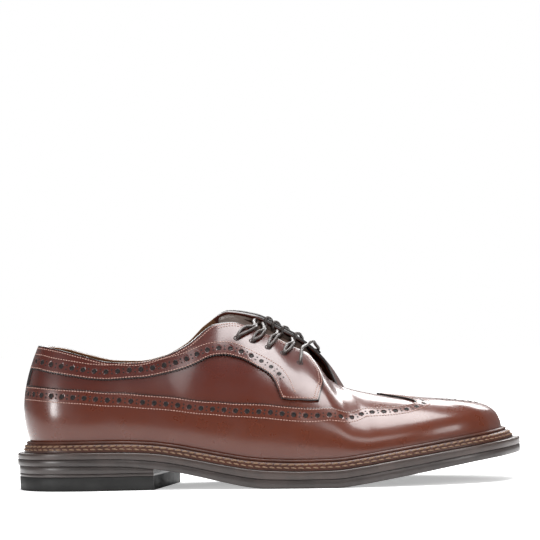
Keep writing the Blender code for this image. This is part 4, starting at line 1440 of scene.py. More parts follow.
def make_back_strip(finishes):
    """A narrow strip over the seam at the back of the heel."""
    low = float(LAST.rise_at_height(np.array((0.0,)), WELT_HEIGHT)[0])
    rises = np.linspace(low, float(LAST.brim(0.0)) - 0.002, 60)[:, None]
    across = np.array([place[0] for place in BACK_STRIP])[None, :]
    lift = np.array([place[1] for place in BACK_STRIP])[None, :]
    rises, across, lift = np.broadcast_arrays(rises, across, lift)
    around = LAST.steepness(np.zeros(rises.shape), rises)[0]
    turn = across / np.linalg.norm(around, axis=-1)
    outer = LAST.at(turn, rises, lift)
    inner = LAST.at(0.97 * turn, rises, np.full(rises.shape, -1.25))
    section = np.concatenate((outer, inner[:, ::-1]), axis=1)
    measure = np.zeros(section.shape[:2] + (2,))
    from_side = BACK_STRIP[-2][0] - np.abs(across)
    measure[..., 1] = np.concatenate((from_side, from_side[:, ::-1]), axis=1)
    return sweep("back_strip_leather", section, False, finishes, measure)


# The facings' lining, made darker with painted shade, starts past this row, and takes this many strips below
# the top edge
THROAT_ROW = 8.35
THROAT_STRIPS = 7
# Lines of the upper from one row of the table to the next, and places on each of them
UPPER_LINES = 18
UPPER_PLACES = 54
# Turned-in top edge of the upper: how far it stands above the line's end, and its lift
UPPER_RIM = ((0.22, -1.7), (0.3, -2.3), (0.22, -2.95))
# Measure given to places that are far from any cut edge
NO_EDGE = 20.0


def make_upper(finishes):
    """Vamp and quarters in one hollow wall, its lining and its turned-in top edge."""
    count = int(2 * ROWS * UPPER_LINES)
    turns = np.arange(count) / (ROWS * UPPER_LINES)
    brim = LAST.brim(turns)
    share = np.linspace(0.0, 1.0, UPPER_PLACES)
    inside = share[::-2]
    fan = row_of(turns) >= FIRST_TOE_ROW - 1e-6
    grid = np.broadcast_to(turns[:, None], (count, len(share)))
    rises = brim[:, None] * share[None, :]
    outer = lifted(grid, rises, BASE_LIFT)
    outer[:, 0] = stand_on_sole(outer[:, 0])
    inner_rises = brim[:, None] * inside[None, :]
    inner_grid = grid[:, : len(inside)]
    inner = LAST.at(inner_grid, inner_rises, np.full(inner_rises.shape, LINING_LIFT))
    inner[:, -1] = stand_on_sole(inner[:, -1])
    normal = LAST.normal(turns, brim)
    up = unit(LAST.point(turns, brim) - LAST.point(turns, brim - 0.01))
    top = LAST.point(turns, brim)
    rim = []
    for bulge, lift in UPPER_RIM:
        rim.append(top + up * bulge + normal * lift)
    pole = LAST.point(1.0, 1.0)
    pole_normal = LAST.normal(1.0, 1.0)
    for points, place in zip(rim, UPPER_RIM):
        points[fan] = pole + pole_normal * place[1]
    outer[fan, -1] = pole + pole_normal * (BASE_LIFT + relief(pole))
    inner[fan, 0] = pole + pole_normal * LINING_LIFT
    section = np.concatenate((outer, np.stack(rim, axis=1), inner), axis=1)
    zones = np.zeros((count, section.shape[1]), dtype=int)
    zones[:, len(share) + 2 :] = 1
    # The lining inside the throat takes a darker finish, painted shade
    throat = (row_of(turns) > THROAT_ROW) & ~fan
    zones[throat, len(share) + 2 : len(share) + 2 + THROAT_STRIPS] = 2
    measure = np.full(section.shape[:2] + (2,), NO_EDGE)
    from_top = np.linalg.norm(outer - outer[:, -1:], axis=2)
    measure[:, : len(share), 1] = np.where(fan[:, None], NO_EDGE, from_top)
    measure[:, len(share) : len(share) + 3, 1] = np.where(fan[:, None], NO_EDGE, 0.0)
    return sweep("upper_leather", section, True, finishes, measure, zones, weld=True)


# Past this row the tongue dips away under the facings, over so many rows and by so many millimetres
TONGUE_DIP_ROW = 11.9
TONGUE_DIP_ROWS = 1.2
TONGUE_DIP = 5.0


def make_tongue(finishes):
    rows = np.linspace(TONGUE_ENDS[0], TONGUE_ENDS[1], 60)
    near = np.linspace(TONGUE_LATERAL[0], TONGUE_LATERAL[1], 26)
    far = np.linspace(TONGUE_MEDIAL[0], TONGUE_MEDIAL[1], 14)
    turn = np.concatenate((
        np.broadcast_to((rows / ROWS)[:, None], (len(rows), len(near))),
        np.broadcast_to((2.0 - rows / ROWS)[:, None], (len(rows), len(far))),
    ), axis=1)
    rise = np.broadcast_to(np.concatenate((near, far))[None, :], turn.shape)
    dip = np.clip((rows - TONGUE_DIP_ROW) / TONGUE_DIP_ROWS, 0.0, 1.0)
    top = LINING_LIFT - TONGUE_INSET - TONGUE_DIP * (dip * dip * (3.0 - 2.0 * dip))[:, None]
    outer = LAST.at(turn, rise, np.broadcast_to(top, turn.shape))
    inner = LAST.at(turn, rise, np.broadcast_to(top - TONGUE_THICKNESS, turn.shape))
    section = np.concatenate((outer, inner[:, ::-1]), axis=1)
    return sweep("tongue_leather", section, False, finishes)


# Section of the welt: its lip as (outwards, height), and its face as (share of the way from the
# lip to the foot, outwards, height)
WELT_LIP = ((0.0, 6.1), (0.35, 6.45), (1.1, 6.5), (1.75, 6.3), (2.15, 5.85), (2.3, 5.3))
WELT_FACE = (
    (0.0, -0.5, 4.9),
    (0.1, -0.35, 4.5),
    (0.3, 0.0, 4.1),
    (0.5, 0.1, 3.4),
    (0.62, 0.1, 2.7),
    (0.75, 0.1, 2.0),
    (0.9, 0.1, 1.2),
    (1.0, 0.0, 0.5),
    (1.0, 0.0, 0.0),
)


def foot_line(turn):
    """The rise of the upper's foot, the same all round the shoe."""
    return np.zeros(np.shape(turn))


def welt_section(turns):
    """Section of the reverse welt: a raised lip against the upper, a groove and a stitched face."""
    foot = LAST.point(turns, 0.0)
    out = LAST.outward(turns)
    low_rise = LAST.rise_at_height(turns, 0.2)
    high_rise = LAST.rise_at_height(turns, WELT_HEIGHT - GAP)
    wall_low = LAST.at(turns, low_rise, np.full(len(turns), GAP))
    wall_high = LAST.at(turns, high_rise, np.full(len(turns), GAP))
    corners = []

    def corner(base, reach, height):
        xy = base[:, :2] + out * reach
        z = over(xy[:, 0]) + GAP + height
        corners.append(np.column_stack((xy, z)))

    corner(wall_low, 0.0, 0.0)
    for reach, height in WELT_LIP:
        corner(wall_high, reach, height)
    lip = np.linalg.norm(wall_high[:, :2] + out * WELT_LIP[-1][0] - foot[:, :2], axis=1)
    for share, extra, height in WELT_FACE:
        reach = lip + (WELT_FOOT + 0.9 - lip) * share + extra
        corner(foot, reach[:, None], height)
    return np.stack(corners, axis=1)


def make_welt(finishes):
    turns = even_turns(foot_line, 900)[0]
    return sweep("welt_strip", welt_section(turns), True, finishes, crease=60.0)


def welt_run(height, start):
    """A line of places on the welt's face at one height, with its outward direction."""
    turns = even_turns(foot_line, 1300)[0]
    turns = np.append(turns, turns[:3] + 2.0)
    section = welt_section(turns)
    face = section[:, 1 + len(WELT_LIP) :]
    level = face[..., 2] - over(face[..., 0]) - GAP
    points = np.zeros((len(turns), 3))
    for i in range(len(turns)):
        order = np.argsort(level[i])
        for axis in range(3):
            points[i, axis] = np.interp(height, level[i][order], face[i, order, axis])
    along = unit(np.gradient(points, axis=0))
    climb = unit(face[:, 3] - face[:, 5])
    up = unit(np.cross(along, climb))
    out = LAST.outward(turns)
    flip = np.sign((up[:, :2] * out).sum(axis=1))
    up = up * flip[:, None]
    keep = slice(start, len(turns) - 3 + start)
    return points[keep] + up[keep] * 0.04, up[keep], along[keep]


SOLE_TURNS = 0.5 - 0.5 * np.cos(np.pi * np.linspace(0.0, 1.0, 170))


def sole_level(extra, height):
    turns = 0.35 * SOLE_TURNS + 0.65 * np.linspace(0.0, 1.0, len(SOLE_TURNS))
    return edge_ring(turns, extra), edge_ring(2.0 - turns, extra), height


def make_sole(finishes):
    outsole = slab(
        "outsole_leather",
        (
            sole_level(0.15, lambda x: parting(x) - GAP / 2.0),
            sole_level(0.35, lambda x: parting(x) - GAP / 2.0 - 0.2),
            sole_level(0.45, lambda x: 0.5 * parting(x) + 0.5 * under(x)),
            sole_level(0.45, lambda x: under(x) + 0.7),
            sole_level(0.2, lambda x: under(x) + 0.2),
            sole_level(-0.3, lambda x: under(x)),
        ),
        [finishes[0]],
    )
    midsole = slab(
        "midsole_leather",
        (
            sole_level(-0.5, lambda x: over(x)),
            sole_level(0.0, lambda x: over(x) - 0.15),
            sole_level(0.25, lambda x: over(x) - 0.55),
            sole_level(0.35, lambda x: over(x) - 1.2),
            sole_level(0.4, lambda x: parting(x) + GAP / 2.0 + 0.3),
            sole_level(0.2, lambda x: parting(x) + GAP / 2.0),
        ),
        [finishes[1]],
    )
    return outsole, midsole


def heel_level(extra, height):
    """The heel's outline from its back to the breast, with both sides cut by the breast's slope."""
    turns = np.linspace(0.0, 0.5, 700)
    pairs = []
    for ring in (edge_ring(turns, extra), edge_ring(2.0 - turns, extra)):
        breast = HEEL_BREAST_X + HEEL_BREAST_SLOPE * ring[:, 1]
        inside = ring[ring[:, 0] <= breast]
        reach = distances(inside)
        wanted = np.linspace(0.0, reach[-1], 70)
        side = [np.interp(wanted, reach, inside[:, axis]) for axis in (0, 1)]
        pairs.append(np.stack(side, axis=1))
    return pairs[0], pairs[1], height


def level(height):
    """The same height at every x."""
    return lambda x: height + 0.0 * x


def heel_slab(name, top, low, finishes, lean=0.0):
    """One lift of the heel with softened edges."""
    def between(share):
        return lambda x: top(x) * (1.0 - share) + low(x) * share

    return slab(
        name,
        (
            heel_level(-0.84, top),
            heel_level(-0.66, lambda x: top(x) - 0.16),
            heel_level(-0.62 - 0.5 * lean, between(0.5)),
            heel_level(-0.66 - lean, lambda x: low(x) + 0.16),
            heel_level(-0.84 - lean, low),
        ),
        finishes,
    )


def facing_place(row, side, depth):
    """Turn and rise on a facing, at a depth below its edge; side is -1 lateral, 1 medial."""
    turn = turn_of(row, side)
    opening = LAST.row(turn, ("opening",))["opening"]
    return turn, LAST.rise_before_top(turn, opening + depth)


def lace_place(row, side, depth, lift):
    """A point over a facing, at a depth below its edge and a lift off it, in millimetres."""
    turn, rise = facing_place(row, side, depth)
    return LAST.at(turn, rise, lift)


def loop_side(eyelet_row, edge_row, side, deep, bulge):
    """Lace points from a facing's edge, over the facing to an eyelet and down inside it."""
    lie = LACE_RADIUS + 0.15
    points = [lace_place(edge_row, side, 0.4, lie + 0.3)]
    for share, swell in ((0.3, 0.85), (0.6, 1.0), (0.86, 0.5)):
        row = edge_row + (eyelet_row - edge_row) * share
        points.append(lace_place(row, side, deep * share + bulge * swell, lie))
    points.append(lace_place(eyelet_row, side, deep, 0.1))
    points.append(lace_place(eyelet_row, side, deep, -2.0))
    return points


def throat_middle(near_row, far_row, lift):
    """The middle of the throat, between a place on each of the two facings' edges."""
    near = lace_place(near_row, -1, 0.0, 0.0)
    far = lace_place(far_row, 1, 0.0, 0.0)
    return 0.5 * (near + far) + np.array((0.0, 0.0, lift))


def strand_over(k):
    """Lace points from a near eyelet over both the edge and the throat, to inside the far facing."""
    near = loop_side(EYELET_ROWS[k], CROSSING_ROWS[k], -1, EYELET_DEPTHS[k], -LOOP_BULGE)
    across = throat_middle(CROSSING_ROWS[k], FAR_ROWS[k], -0.4)
    arrive = lace_place(FAR_ROWS[k], 1, 1.4, -4.3)
    hidden = lace_place(FAR_ROWS[k], 1, 4.0, -2.8)
    return near[::-1] + [across, arrive, hidden]


def strand_under(k):
    """Lace points from a near eyelet over the edge, and down beside the tongue under the far facing."""
    near = loop_side(EYELET_ROWS[k], CROSSING_ROWS[k] + 0.09, -1, EYELET_DEPTHS[k], LOOP_BULGE)
    dip = throat_middle(CROSSING_ROWS[k] + 0.14, FAR_ROWS[k], -2.2)
    hidden = lace_place(FAR_ROWS[k], 1, 5.0, -3.0)
    return near[::-1] + [dip, hidden]


def strand_far(k):
    """Lace points from inside the far facing over its edge and down to its eyelet."""
    row = FAR_EYELET_ROWS[k]
    start = lace_place(row, 1, 4.0, -3.0)
    inside = lace_place(row, 1, 1.2, -4.4)
    over_edge = lace_place(row, 1, 0.0, -1.6) + np.array((0.0, 0.0, 1.1))
    return [start, inside, over_edge] + loop_side(row, row, 1, FAR_DEPTH, 0.0)[1:]


def bar_strand():
    """Lace points of the bar over both facings' edges at the lowest eyelets."""
    near = loop_side(EYELET_ROWS[-1], CROSSING_ROWS[-1], -1, EYELET_DEPTHS[-1], 0.0)
    far = loop_side(FAR_EYELET_ROWS[-1], FAR_ROWS[-1], 1, FAR_DEPTH, 0.0)
    return near[::-1] + [throat_middle(CROSSING_ROWS[-1], FAR_ROWS[-1], LACE_RADIUS)] + far


def length_property(name, description, length):
    return bpy.props.FloatProperty(
        name=name, description=description, default=length, unit="LENGTH", precision=5)


class BrogueSizes(bpy.types.PropertyGroup):
    hole_pitch: length_property("Hole pitch", "Distance between the large punched holes", 0.0070)
    hole_radius: length_property("Hole radius", "Radius of the large punched holes", 0.00115)
    pin_radius: length_property("Pinhole radius", "Radius of the small holes", 0.0004)
    pin_spread: length_property("Pinhole spread", "From each pinhole of a pair to the row's line", 0.0011)
    tooth_pitch: length_property("Pinking pitch", "Width of one tooth of the pinked edges", 0.0018)
    tooth_depth: length_property("Pinking depth", "Depth of the teeth of the pinked edges", 0.0009)
    stitch_pitch: length_property("Upper stitch pitch", "Between stitches on the upper", 0.0017)
    welt_stitch_pitch: length_property("Welt stitch pitch", "Between stitches on the welt", 0.0043)
    lace_segments: bpy.props.IntProperty(
        name="Lace segments", description="Rings along each strand of lace", default=64, min=8)


def colour_property(name, description, colour):
    return bpy.props.FloatVectorProperty(
        name=name, description=description, default=colour, subtype="COLOR", size=3, min=0.0, max=1.0)


class BrogueColours(bpy.types.PropertyGroup):
    # The low colour of the calf holds a painted reflection of the pale floor
    calf_low_painted_reflection: colour_property("Calf, low", "Polished calf low on the shoe", (0.107, 0.0190, 0.0048))
    calf_deep: colour_property("Calf, high", "Polished calf high on the shoe", (0.068, 0.0088, 0.0045))
    # Ink on the cut edges; the same colour paints shade along the pinked edges and inside the holes
    edge_ink_and_shade: colour_property("Cut edge", "Inked edges of the leather", (0.012, 0.0050, 0.0040))
    tongue: colour_property("Tongue", "Tongue leather", (0.052, 0.027, 0.0170))
    lining: colour_property("Lining", "Lining leather", (0.20, 0.090, 0.038))
    # Painted shade: the lining made darker inside the throat
    facing_lining: colour_property("Facing lining", "Inner side of the facings", (0.10, 0.022, 0.012))
    welt: colour_property("Welt", "Welt leather", (0.080, 0.026, 0.015))
    welt_thread: colour_property("Welt thread", "Thread of the welt", (0.24, 0.135, 0.075))
    upper_thread: colour_property("Upper thread", "Thread of the upper", (0.50, 0.29, 0.235))
    midsole: colour_property("Midsole edge", "Edge of the midsole", (0.056, 0.035, 0.029))
    outsole: colour_property("Outsole edge", "Edge of the outsole and heel lifts", (0.046, 0.034, 0.031))
    rubber: colour_property("Top lift", "Rubber of the heel's top lift", (0.026, 0.0255, 0.0250))
    lace: colour_property("Lace", "Waxed lace", (0.042, 0.027, 0.022))
    floor: colour_property("Floor", "Studio floor", (0.86, 0.86, 0.86))


FINISHES = {}


def make_finishes(colours):
    """Every material of the shoe, made once."""
    groups = {"grain": make_grain_group(), "painted_light": make_painted_light_group()}

    def shade(colour, by):
        return tuple(by * c for c in colour)

    reflected_low = tuple(colours.calf_low_painted_reflection)
    deep = tuple(colours.calf_deep)
    edge = tuple(colours.edge_ink_and_shade)
    FINISHES["calf"] = polished_leather("polished_calf", groups, reflected_low, deep, edge)
    FINISHES["overlay"] = polished_leather("polished_calf_overlay", groups, reflected_low, deep, edge)
    FINISHES["hole"] = painted_shade_hole("punched_hole_painted_shade", edge)
    FINISHES["lining"] = plain_leather(
        "lining_leather", groups, tuple(colours.lining), shade(colours.lining, 0.72), 0.5)
    FINISHES["facing_lining"] = plain_leather(
        "facing_lining_leather", groups, tuple(colours.facing_lining),
        shade(colours.facing_lining, 0.6), 0.4, coat=0.3)
    FINISHES["tongue"] = plain_leather(
        "tongue_leather_finish", groups, tuple(colours.tongue), shade(colours.tongue, 0.6), 0.6)
    FINISHES["welt"] = plain_leather(
        "welt_leather", groups, tuple(colours.welt), shade(colours.welt, 0.62), 0.42, bump=0.5, coat=0.25)
    FINISHES["welt_thread"] = twisted_thread("welt_thread", tuple(colours.welt_thread), 0.6)
    FINISHES["upper_thread"] = twisted_thread("upper_thread", tuple(colours.upper_thread), 0.5)
    FINISHES["midsole"] = layered_edge(
        "midsole_edge", groups, tuple(colours.midsole), shade(colours.midsole, 0.6), 0.36, 0.35)
    FINISHES["outsole"] = layered_edge(
        "outsole_edge", groups, tuple(colours.outsole), shade(colours.outsole, 0.6), 0.36, 0.35)
    FINISHES["rubber"] = plain_leather(
        "top_lift_rubber", groups, tuple(colours.rubber), shade(colours.rubber, 0.7), 0.5, bump=0.3)
    FINISHES["lace"] = waxed_cord("waxed_lace", tuple(colours.lace), 0.42)


class BrogueOperator:
    """What all the shoe's operators share."""

    bl_options = {"REGISTER"}

    def execute(self, context):
        scene = context.scene
        if not FINISHES:
            make_finishes(scene.brogue_colours)
        self.make(scene.brogue_sizes, scene.brogue_colours)
        return {"FINISHED"}


class BROGUE_OT_sole(BrogueOperator, bpy.types.Operator):
    """Double leather sole"""

    bl_idname = "brogue.sole"
    bl_label = "Outsole and midsole"

    def make(self, sizes, colours):
        outsole, midsole = make_sole((FINISHES["outsole"], FINISHES["midsole"]))
        dress(outsole, "sole_edge", "outsole")
        dress(midsole, "sole_edge", "midsole")


class BROGUE_OT_heel(BrogueOperator, bpy.types.Operator):
    """Stacked heel with its rubber top lift"""

    bl_idname = "brogue.heel"
    bl_label = "Heel"

    def make(self, sizes, colours):
        upper = heel_slab(
            "heel_lift_upper_leather", lambda x: under(x) - GAP / 2.0, level(LOWER_LIFT_HEIGHT),
            [FINISHES["outsole"]])
        lower = heel_slab(
            "heel_lift_lower_leather", level(LOWER_LIFT_HEIGHT - GAP / 2.0), level(TOP_LIFT_HEIGHT),
            [FINISHES["outsole"]])
        top = heel_slab(
            "heel_top_lift_rubber", level(TOP_LIFT_HEIGHT - GAP / 2.0), level(0.0),
            [FINISHES["rubber"]], lean=0.2)
        dress(upper, "sole_edge", "heel_lift_upper")
        dress(lower, "sole_edge", "heel_lift_lower")
        dress(top, "heel_rubber", "heel_top_lift")


WELT_STITCHES = (
    # name, height on the welt, first place, width, thickness, slant, seed
    ("welt_stitches_upper", 3.55, 0, 1.15, 0.42, 0.12, 3),
    ("welt_stitches_lower", 1.65, 3, 0.95, 0.38, -0.12, 4),
)


class BROGUE_OT_welt(BrogueOperator, bpy.types.Operator):
    """Reverse welt with its two rows of stitches"""

    bl_idname = "brogue.welt"
    bl_label = "Welt"

    def make(self, sizes, colours):
        dress(make_welt([FINISHES["welt"]]), "welt", "welt")
        pitch = sizes.welt_stitch_pitch / MM
        for name, height, start, width, thick, slant, seed in WELT_STITCHES:
            shape = stitch_shape("welt_stitch", 0.86 * pitch, width, thick, slant)
            runs = [welt_run(height, start)]
            dress(repeat(name, runs, shape, FINISHES["welt_thread"], pitch, 0.06, seed), "welt")
            drop(shape)


class BROGUE_OT_upper(BrogueOperator, bpy.types.Operator):
    """Upper, long wing and quarter trim"""

    bl_idname = "brogue.upper"
    bl_label = "Upper leathers"

    def make(self, sizes, colours):
        dress(make_upper([FINISHES["calf"], FINISHES["lining"], FINISHES["facing_lining"]]), "calf", "upper")
        dress(make_wing(sizes, [FINISHES["overlay"]]), "calf_overlay", "wing_overlay")
        dress(make_trim(sizes, [FINISHES["overlay"]]), "calf_overlay", "quarter_trim")
        dress(make_back_strip([FINISHES["overlay"]]), "calf_overlay")


class BROGUE_OT_inside(BrogueOperator, bpy.types.Operator):
    """Tongue and inner sole"""

    bl_idname = "brogue.inside"
    bl_label = "Tongue and inner sole"

    def make(self, sizes, colours):
        dress(make_tongue([FINISHES["tongue"]]), "tongue_leather", "tongue")
        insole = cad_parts["insole"]
        for place in insole.material_slots:
            place.material = FINISHES["lining"]


# Profiles of the small round shapes: radius past the hole's own, and height above the leather
CUP_PROFILE = ((0.55, -0.32), (0.22, -0.02), (0.06, 0.05), (-0.1, -0.06), (-0.16, -0.4), (-0.2, -0.72))
DISC_PROFILE = ((0.4, -0.2), (0.2, 0.07), (-0.1, 0.05), (-0.4, 0.02))
DOT_PROFILE = ((0.2, -0.12), (0.05, 0.07), (-0.1, 0.04))
# The eyelet's rim has its own radii
RIM_PROFILE = ((2.25, -0.1), (2.1, 0.1), (1.75, 0.2), (1.45, 0.08), (1.4, -0.25))
DISC_LIFT = 0.05
DOT_LIFT = 0.06


class BROGUE_OT_holes(BrogueOperator, bpy.types.Operator):
    """Large punched holes, the pinhole pairs between them, and the toe medallion, all coloured dark with
    painted shade
    """

    bl_idname = "brogue.holes"
    bl_label = "Punched holes"

    def make(self, sizes, colours):
        radius = sizes.hole_radius / MM
        # The dark finish of the holes, discs, dots and eyelet rims is painted shade
        hole = FINISHES["hole"]
        cup = turned_shape("hole_cup", radius, CUP_PROFILE, 12)
        wing, trim = big_holes(sizes)
        medallion = medallion_places()
        large = medallion[medallion[:, 2] > 0.5][:, :2]
        small = medallion[medallion[:, 2] < 0.5][:, :2]
        bent = np.abs(trim[:, 0]) * ROWS >= TRIM_DISC_ROW
        runs = [surface_run(path, 0.0) for path in (wing, trim[~bent])]
        dress(repeat("large_holes", runs, cup, hole), "calf_overlay")
        drop(cup)
        disc = turned_shape("toe_disc", radius, DISC_PROFILE, 14)
        discs = [surface_run(path, DISC_LIFT) for path in (large, trim[bent])]
        dress(repeat("flat_holes", discs, disc, hole), "calf_overlay")
        drop(disc)
        dot = turned_shape("pin_dot", sizes.pin_radius / MM, DOT_PROFILE, 8)
        dress(repeat("pinholes", self.pin_runs(sizes, small), dot, hole), "calf_overlay")
        drop(dot)
        rim = turned_shape("eyelet_rim", 0.0, RIM_PROFILE, 20)
        dress(repeat("eyelet_rims", [self.eyelet_run()], rim, hole), "calf_overlay")
        drop(rim)

    def pin_runs(self, sizes, small):
        """Pairs of pinholes halfway between the large holes, and the medallion's small ones."""
        pitch = sizes.hole_pitch / MM
        spread = sizes.pin_spread / MM
        runs = []
        for base, row in ((wing_path(), WING_HOLE_ROW), (trim_path(TRIM_HOLE_END), -TRIM_HOLE_ROW)):
            middle = resample(offset_path(base, row), pitch, pitch)
            for side in (-1.0, 1.0):
                runs.append(surface_run(offset_path(middle, side * spread), DOT_LIFT))
        runs.append(surface_run(small, DOT_LIFT))
        return runs

    def eyelet_run(self):
        """(points, up, along) of the eyelets of both facings."""
        places = []
        for k in range(len(EYELET_ROWS)):
            places.append(facing_place(EYELET_ROWS[k], -1, EYELET_DEPTHS[k]))
            places.append(facing_place(FAR_EYELET_ROWS[k], 1, FAR_DEPTH))
        turn, rise = np.array(places).T
        around = LAST.steepness(turn, rise)[0]
        return LAST.point(turn, rise), LAST.normal(turn, rise), unit(around)


# Distances of the stitch rows from an edge: the first row, a second one near it, the rows on the
# far side of the wing's and the trim's holes, and the first row of the collar and tab
EDGE_STITCH = 1.35
SECOND_STITCH = 3.2
WING_FAR_STITCH = 8.9
TRIM_FAR_STITCH = 9.3
COLLAR_STITCH = 1.5
# Rows at which the collar's stitches end, its second row starts, and the tab's foot runs
COLLAR_STITCH_END = 11.2
FACING_STITCH_START = 8.3
TAB_FOOT_ROWS = (9.85, 11.6)
STITCH_LIFT = 0.05


class BROGUE_OT_stitches(BrogueOperator, bpy.types.Operator):
    """Rows of stitches on the upper"""

    bl_idname = "brogue.stitches"
    bl_label = "Upper stitches"

    def make(self, sizes, colours):
        pitch = sizes.stitch_pitch / MM
        shape = stitch_shape("upper_stitch", 0.8 * pitch, 0.52, 0.22)
        wing = wing_path()
        trim = trim_path(TAB_CORNER_ROW)
        foot = trim_path(TAB_FOOT_ROWS[1])
        bottom = foot[np.abs(foot[:, 0]) * ROWS > TAB_FOOT_ROWS[0]]
        half = len(bottom) // 2
        end = COLLAR_STITCH_END
        paths = [
            offset_path(wing, EDGE_STITCH),
            offset_path(wing, WING_FAR_STITCH),
            offset_path(trim, -EDGE_STITCH),
            offset_path(trim, -TRIM_FAR_STITCH),
            offset_path(collar_path(-end, end), COLLAR_STITCH),
            offset_path(collar_path(FACING_STITCH_START, end), SECOND_STITCH),
            offset_path(collar_path(-end, -FACING_STITCH_START), SECOND_STITCH),
            offset_path(tab_path(1), -COLLAR_STITCH),
            offset_path(tab_path(1), -SECOND_STITCH),
            offset_path(tab_path(-1), COLLAR_STITCH),
            offset_path(tab_path(-1), SECOND_STITCH),
            offset_path(bottom[:half], -COLLAR_STITCH),
            offset_path(bottom[half:], -COLLAR_STITCH),
        ]
        runs = [surface_run(path, STITCH_LIFT) for path in paths if len(path) > 4]
        dress(repeat("upper_stitches", runs, shape, FINISHES["upper_thread"], pitch, 0.08, 7), "calf_overlay")
        drop(shape)


LACE_SIDES = 14


class BROGUE_OT_laces(BrogueOperator, bpy.types.Operator):
    """Straight bar and four crossings of the waxed lace, run down into the eyelets"""

    bl_idname = "brogue.laces"
    bl_label = "Laces"

    def make(self, sizes, colours):
        finish = [FINISHES["lace"]]
        segments = sizes.lace_segments
        route = smooth_path(bar_strand(), segments)
        bar = tube("lace_bar_cord", route, LACE_RADIUS, LACE_SIDES, finish)
        dress(bar, "lace", "lace_bar")
        for k in range(len(EYELET_ROWS) - 1):
            paths = (strand_over(k), strand_under(k), strand_far(k))
            strands = []
            for number, path in enumerate(paths):
                name = "lace_strand_%d_%d" % (k + 1, number + 1)
                route = smooth_path(path, segments)
                strands.append(tube(name, route, LACE_RADIUS, LACE_SIDES, finish))
            crossing = joined("lace_crossing_%d_cords" % (k + 1), strands)
            dress(crossing, "lace", "lace_crossing_%d" % (k + 1))


# Camera and lights, in metres from the middle of the shoe on the floor; angles in degrees, lens in
# millimetres
CAMERA_DISTANCE = 1.5
CAMERA_HEIGHT = 0.098
CAMERA_X = 0.0003
CAMERA_PITCH = 1.193
CAMERA_ROLL = 1.303
CAMERA_LENS = 164.94
CAMERA_SHIFT = 0.0061
# The world lights the shoe weakly, but the camera sees it white
WORLD_LIGHT = 0.24
# The camera sees the floor white far from the shoe and nearly white close by: distances from the
# middle and the glow at each
FLOOR_GLOW_NEAR = 0.3
FLOOR_GLOW_FAR = 0.9
FLOOR_GLOW = (0.42, 0.85)
FLOOR_SIZE = 6.0
LIGHTS = (
    # name, place, aimed at, width, height, power
    ("overhead", (0.06, 0.04, 1.05), (0.02, 0.0, 0.05), 1.0, 0.6, 19.0),
    ("front", (0.25, -1.3, 0.85), (0.03, 0.0, 0.05), 0.7, 0.3, 2.6),
    ("left", (-1.2, -0.9, 0.35), (-0.05, 0.0, 0.04), 0.3, 0.3, 6.0),
    ("right", (1.1, -0.9, 0.6), (0.05, 0.0, 0.05), 0.5, 0.4, 4.0),
    ("behind", (0.1, 1.1, 0.75), (0.02, 0.0, 0.05), 1.3, 0.5, 14.0),
)


def make_floor(scene, colours):
    """The pale floor, which glows for the camera alone."""
    finish, tree, shader, where = new_finish("studio_floor")
    shader.inputs["Base Color"].default_value = (*colours.floor, 1.0)
    shader.inputs["Roughness"].default_value = 0.9
    shader.inputs["Specular IOR Level"].default_value = 0.1
    shader.inputs["Emission Color"].default_value = (1.0, 1.0, 1.0, 1.0)
    away = tree.nodes.new("ShaderNodeVectorMath")
    away.operation = "LENGTH"
    tree.links.new(where, away.inputs[0])
    glow = ramp(tree, away.outputs["Value"], FLOOR_GLOW_NEAR, FLOOR_GLOW_FAR, *FLOOR_GLOW)
    ray = tree.nodes.new("ShaderNodeLightPath")
    glow = maths(tree, "MULTIPLY", glow, ray.outputs["Is Camera Ray"])
    tree.links.new(glow, shader.inputs["Emission Strength"])
    shape = bmesh.new()
    bmesh.ops.create_grid(shape, x_segments=1, y_segments=1, size=FLOOR_SIZE)
    mesh = bpy.data.meshes.new("floor")
    shape.to_mesh(mesh)
    shape.free()
    mesh.materials.append(finish)
    floor = bpy.data.objects.new("floor", mesh)
    scene.collection.objects.link(floor)


def make_world(scene):
    """A weak even light all round, which the camera sees as white."""
    world = bpy.data.worlds.new("studio")
    world.use_nodes = True
    tree = world.node_tree
    background = tree.nodes["Background"]
    background.inputs["Color"].default_value = (1.0, 1.0, 1.0, 1.0)
    ray = tree.nodes.new("ShaderNodeLightPath")
    strength = ramp(tree, ray.outputs["Is Camera Ray"], 0.0, 1.0, WORLD_LIGHT, 1.0)
    tree.links.new(strength, background.inputs["Strength"])
    scene.world = world
    scene.view_settings.view_transform = "Standard"


def make_lights(scene):
    for name, place, aim, width, height, power in LIGHTS:
        light = bpy.data.lights.new(name, "AREA")
        light.shape = "RECTANGLE"
        light.size = width
        light.size_y = height
        light.energy = power
        lamp = bpy.data.objects.new(name, light)
        lamp.location = place
        toward = Vector(aim) - Vector(place)
        lamp.rotation_euler = toward.to_track_quat("-Z", "Y").to_euler()
        scene.collection.objects.link(lamp)


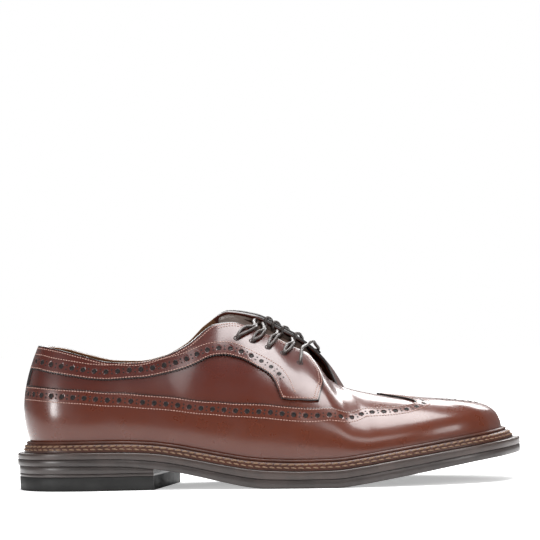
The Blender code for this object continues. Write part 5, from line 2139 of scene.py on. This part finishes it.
def make_camera(scene):
    data = bpy.data.cameras.new("camera")
    data.lens = CAMERA_LENS
    data.sensor_width = 36.0
    data.shift_x = CAMERA_SHIFT
    camera = bpy.data.objects.new("camera", data)
    camera.location = (CAMERA_X, -CAMERA_DISTANCE, CAMERA_HEIGHT)
    pitch = math.radians(90.0 + CAMERA_PITCH)
    camera.rotation_euler = (pitch, math.radians(CAMERA_ROLL), 0.0)
    scene.collection.objects.link(camera)
    scene.camera = camera


class BROGUE_OT_studio(BrogueOperator, bpy.types.Operator):
    """Pale floor, soft lights and the camera"""

    bl_idname = "brogue.studio"
    bl_label = "Studio"

    def make(self, sizes, colours):
        scene = bpy.context.scene
        make_floor(scene, colours)
        make_world(scene)
        make_lights(scene)
        make_camera(scene)


STEPS = (
    BROGUE_OT_sole,
    BROGUE_OT_heel,
    BROGUE_OT_welt,
    BROGUE_OT_upper,
    BROGUE_OT_inside,
    BROGUE_OT_holes,
    BROGUE_OT_stitches,
    BROGUE_OT_laces,
    BROGUE_OT_studio,
)


class BROGUE_PT_panel(bpy.types.Panel):
    """Lists the shoe's steps and sizes in the sidebar"""

    bl_label = "Longwing brogue"
    bl_idname = "BROGUE_PT_panel"
    bl_space_type = "VIEW_3D"
    bl_region_type = "UI"
    bl_category = "Brogue"

    def draw(self, context):
        for step in STEPS:
            self.layout.operator(step.bl_idname)
        for group in (context.scene.brogue_sizes, context.scene.brogue_colours):
            for label in group.__annotations__:
                self.layout.prop(group, label)


CLASSES = (BrogueSizes, BrogueColours) + STEPS + (BROGUE_PT_panel,)


def register():
    for thing in CLASSES:
        bpy.utils.register_class(thing)
    bpy.types.Scene.brogue_sizes = bpy.props.PointerProperty(type=BrogueSizes)
    bpy.types.Scene.brogue_colours = bpy.props.PointerProperty(type=BrogueColours)


def unregister():
    del bpy.types.Scene.brogue_colours
    del bpy.types.Scene.brogue_sizes
    for thing in reversed(CLASSES):
        bpy.utils.unregister_class(thing)


def main():
    """Builds the shoe and its studio."""
    register()
    for step in STEPS:
        group, name = step.bl_idname.split(".")
        getattr(getattr(bpy.ops, group), name)()


if __name__ == "__main__":
    main()
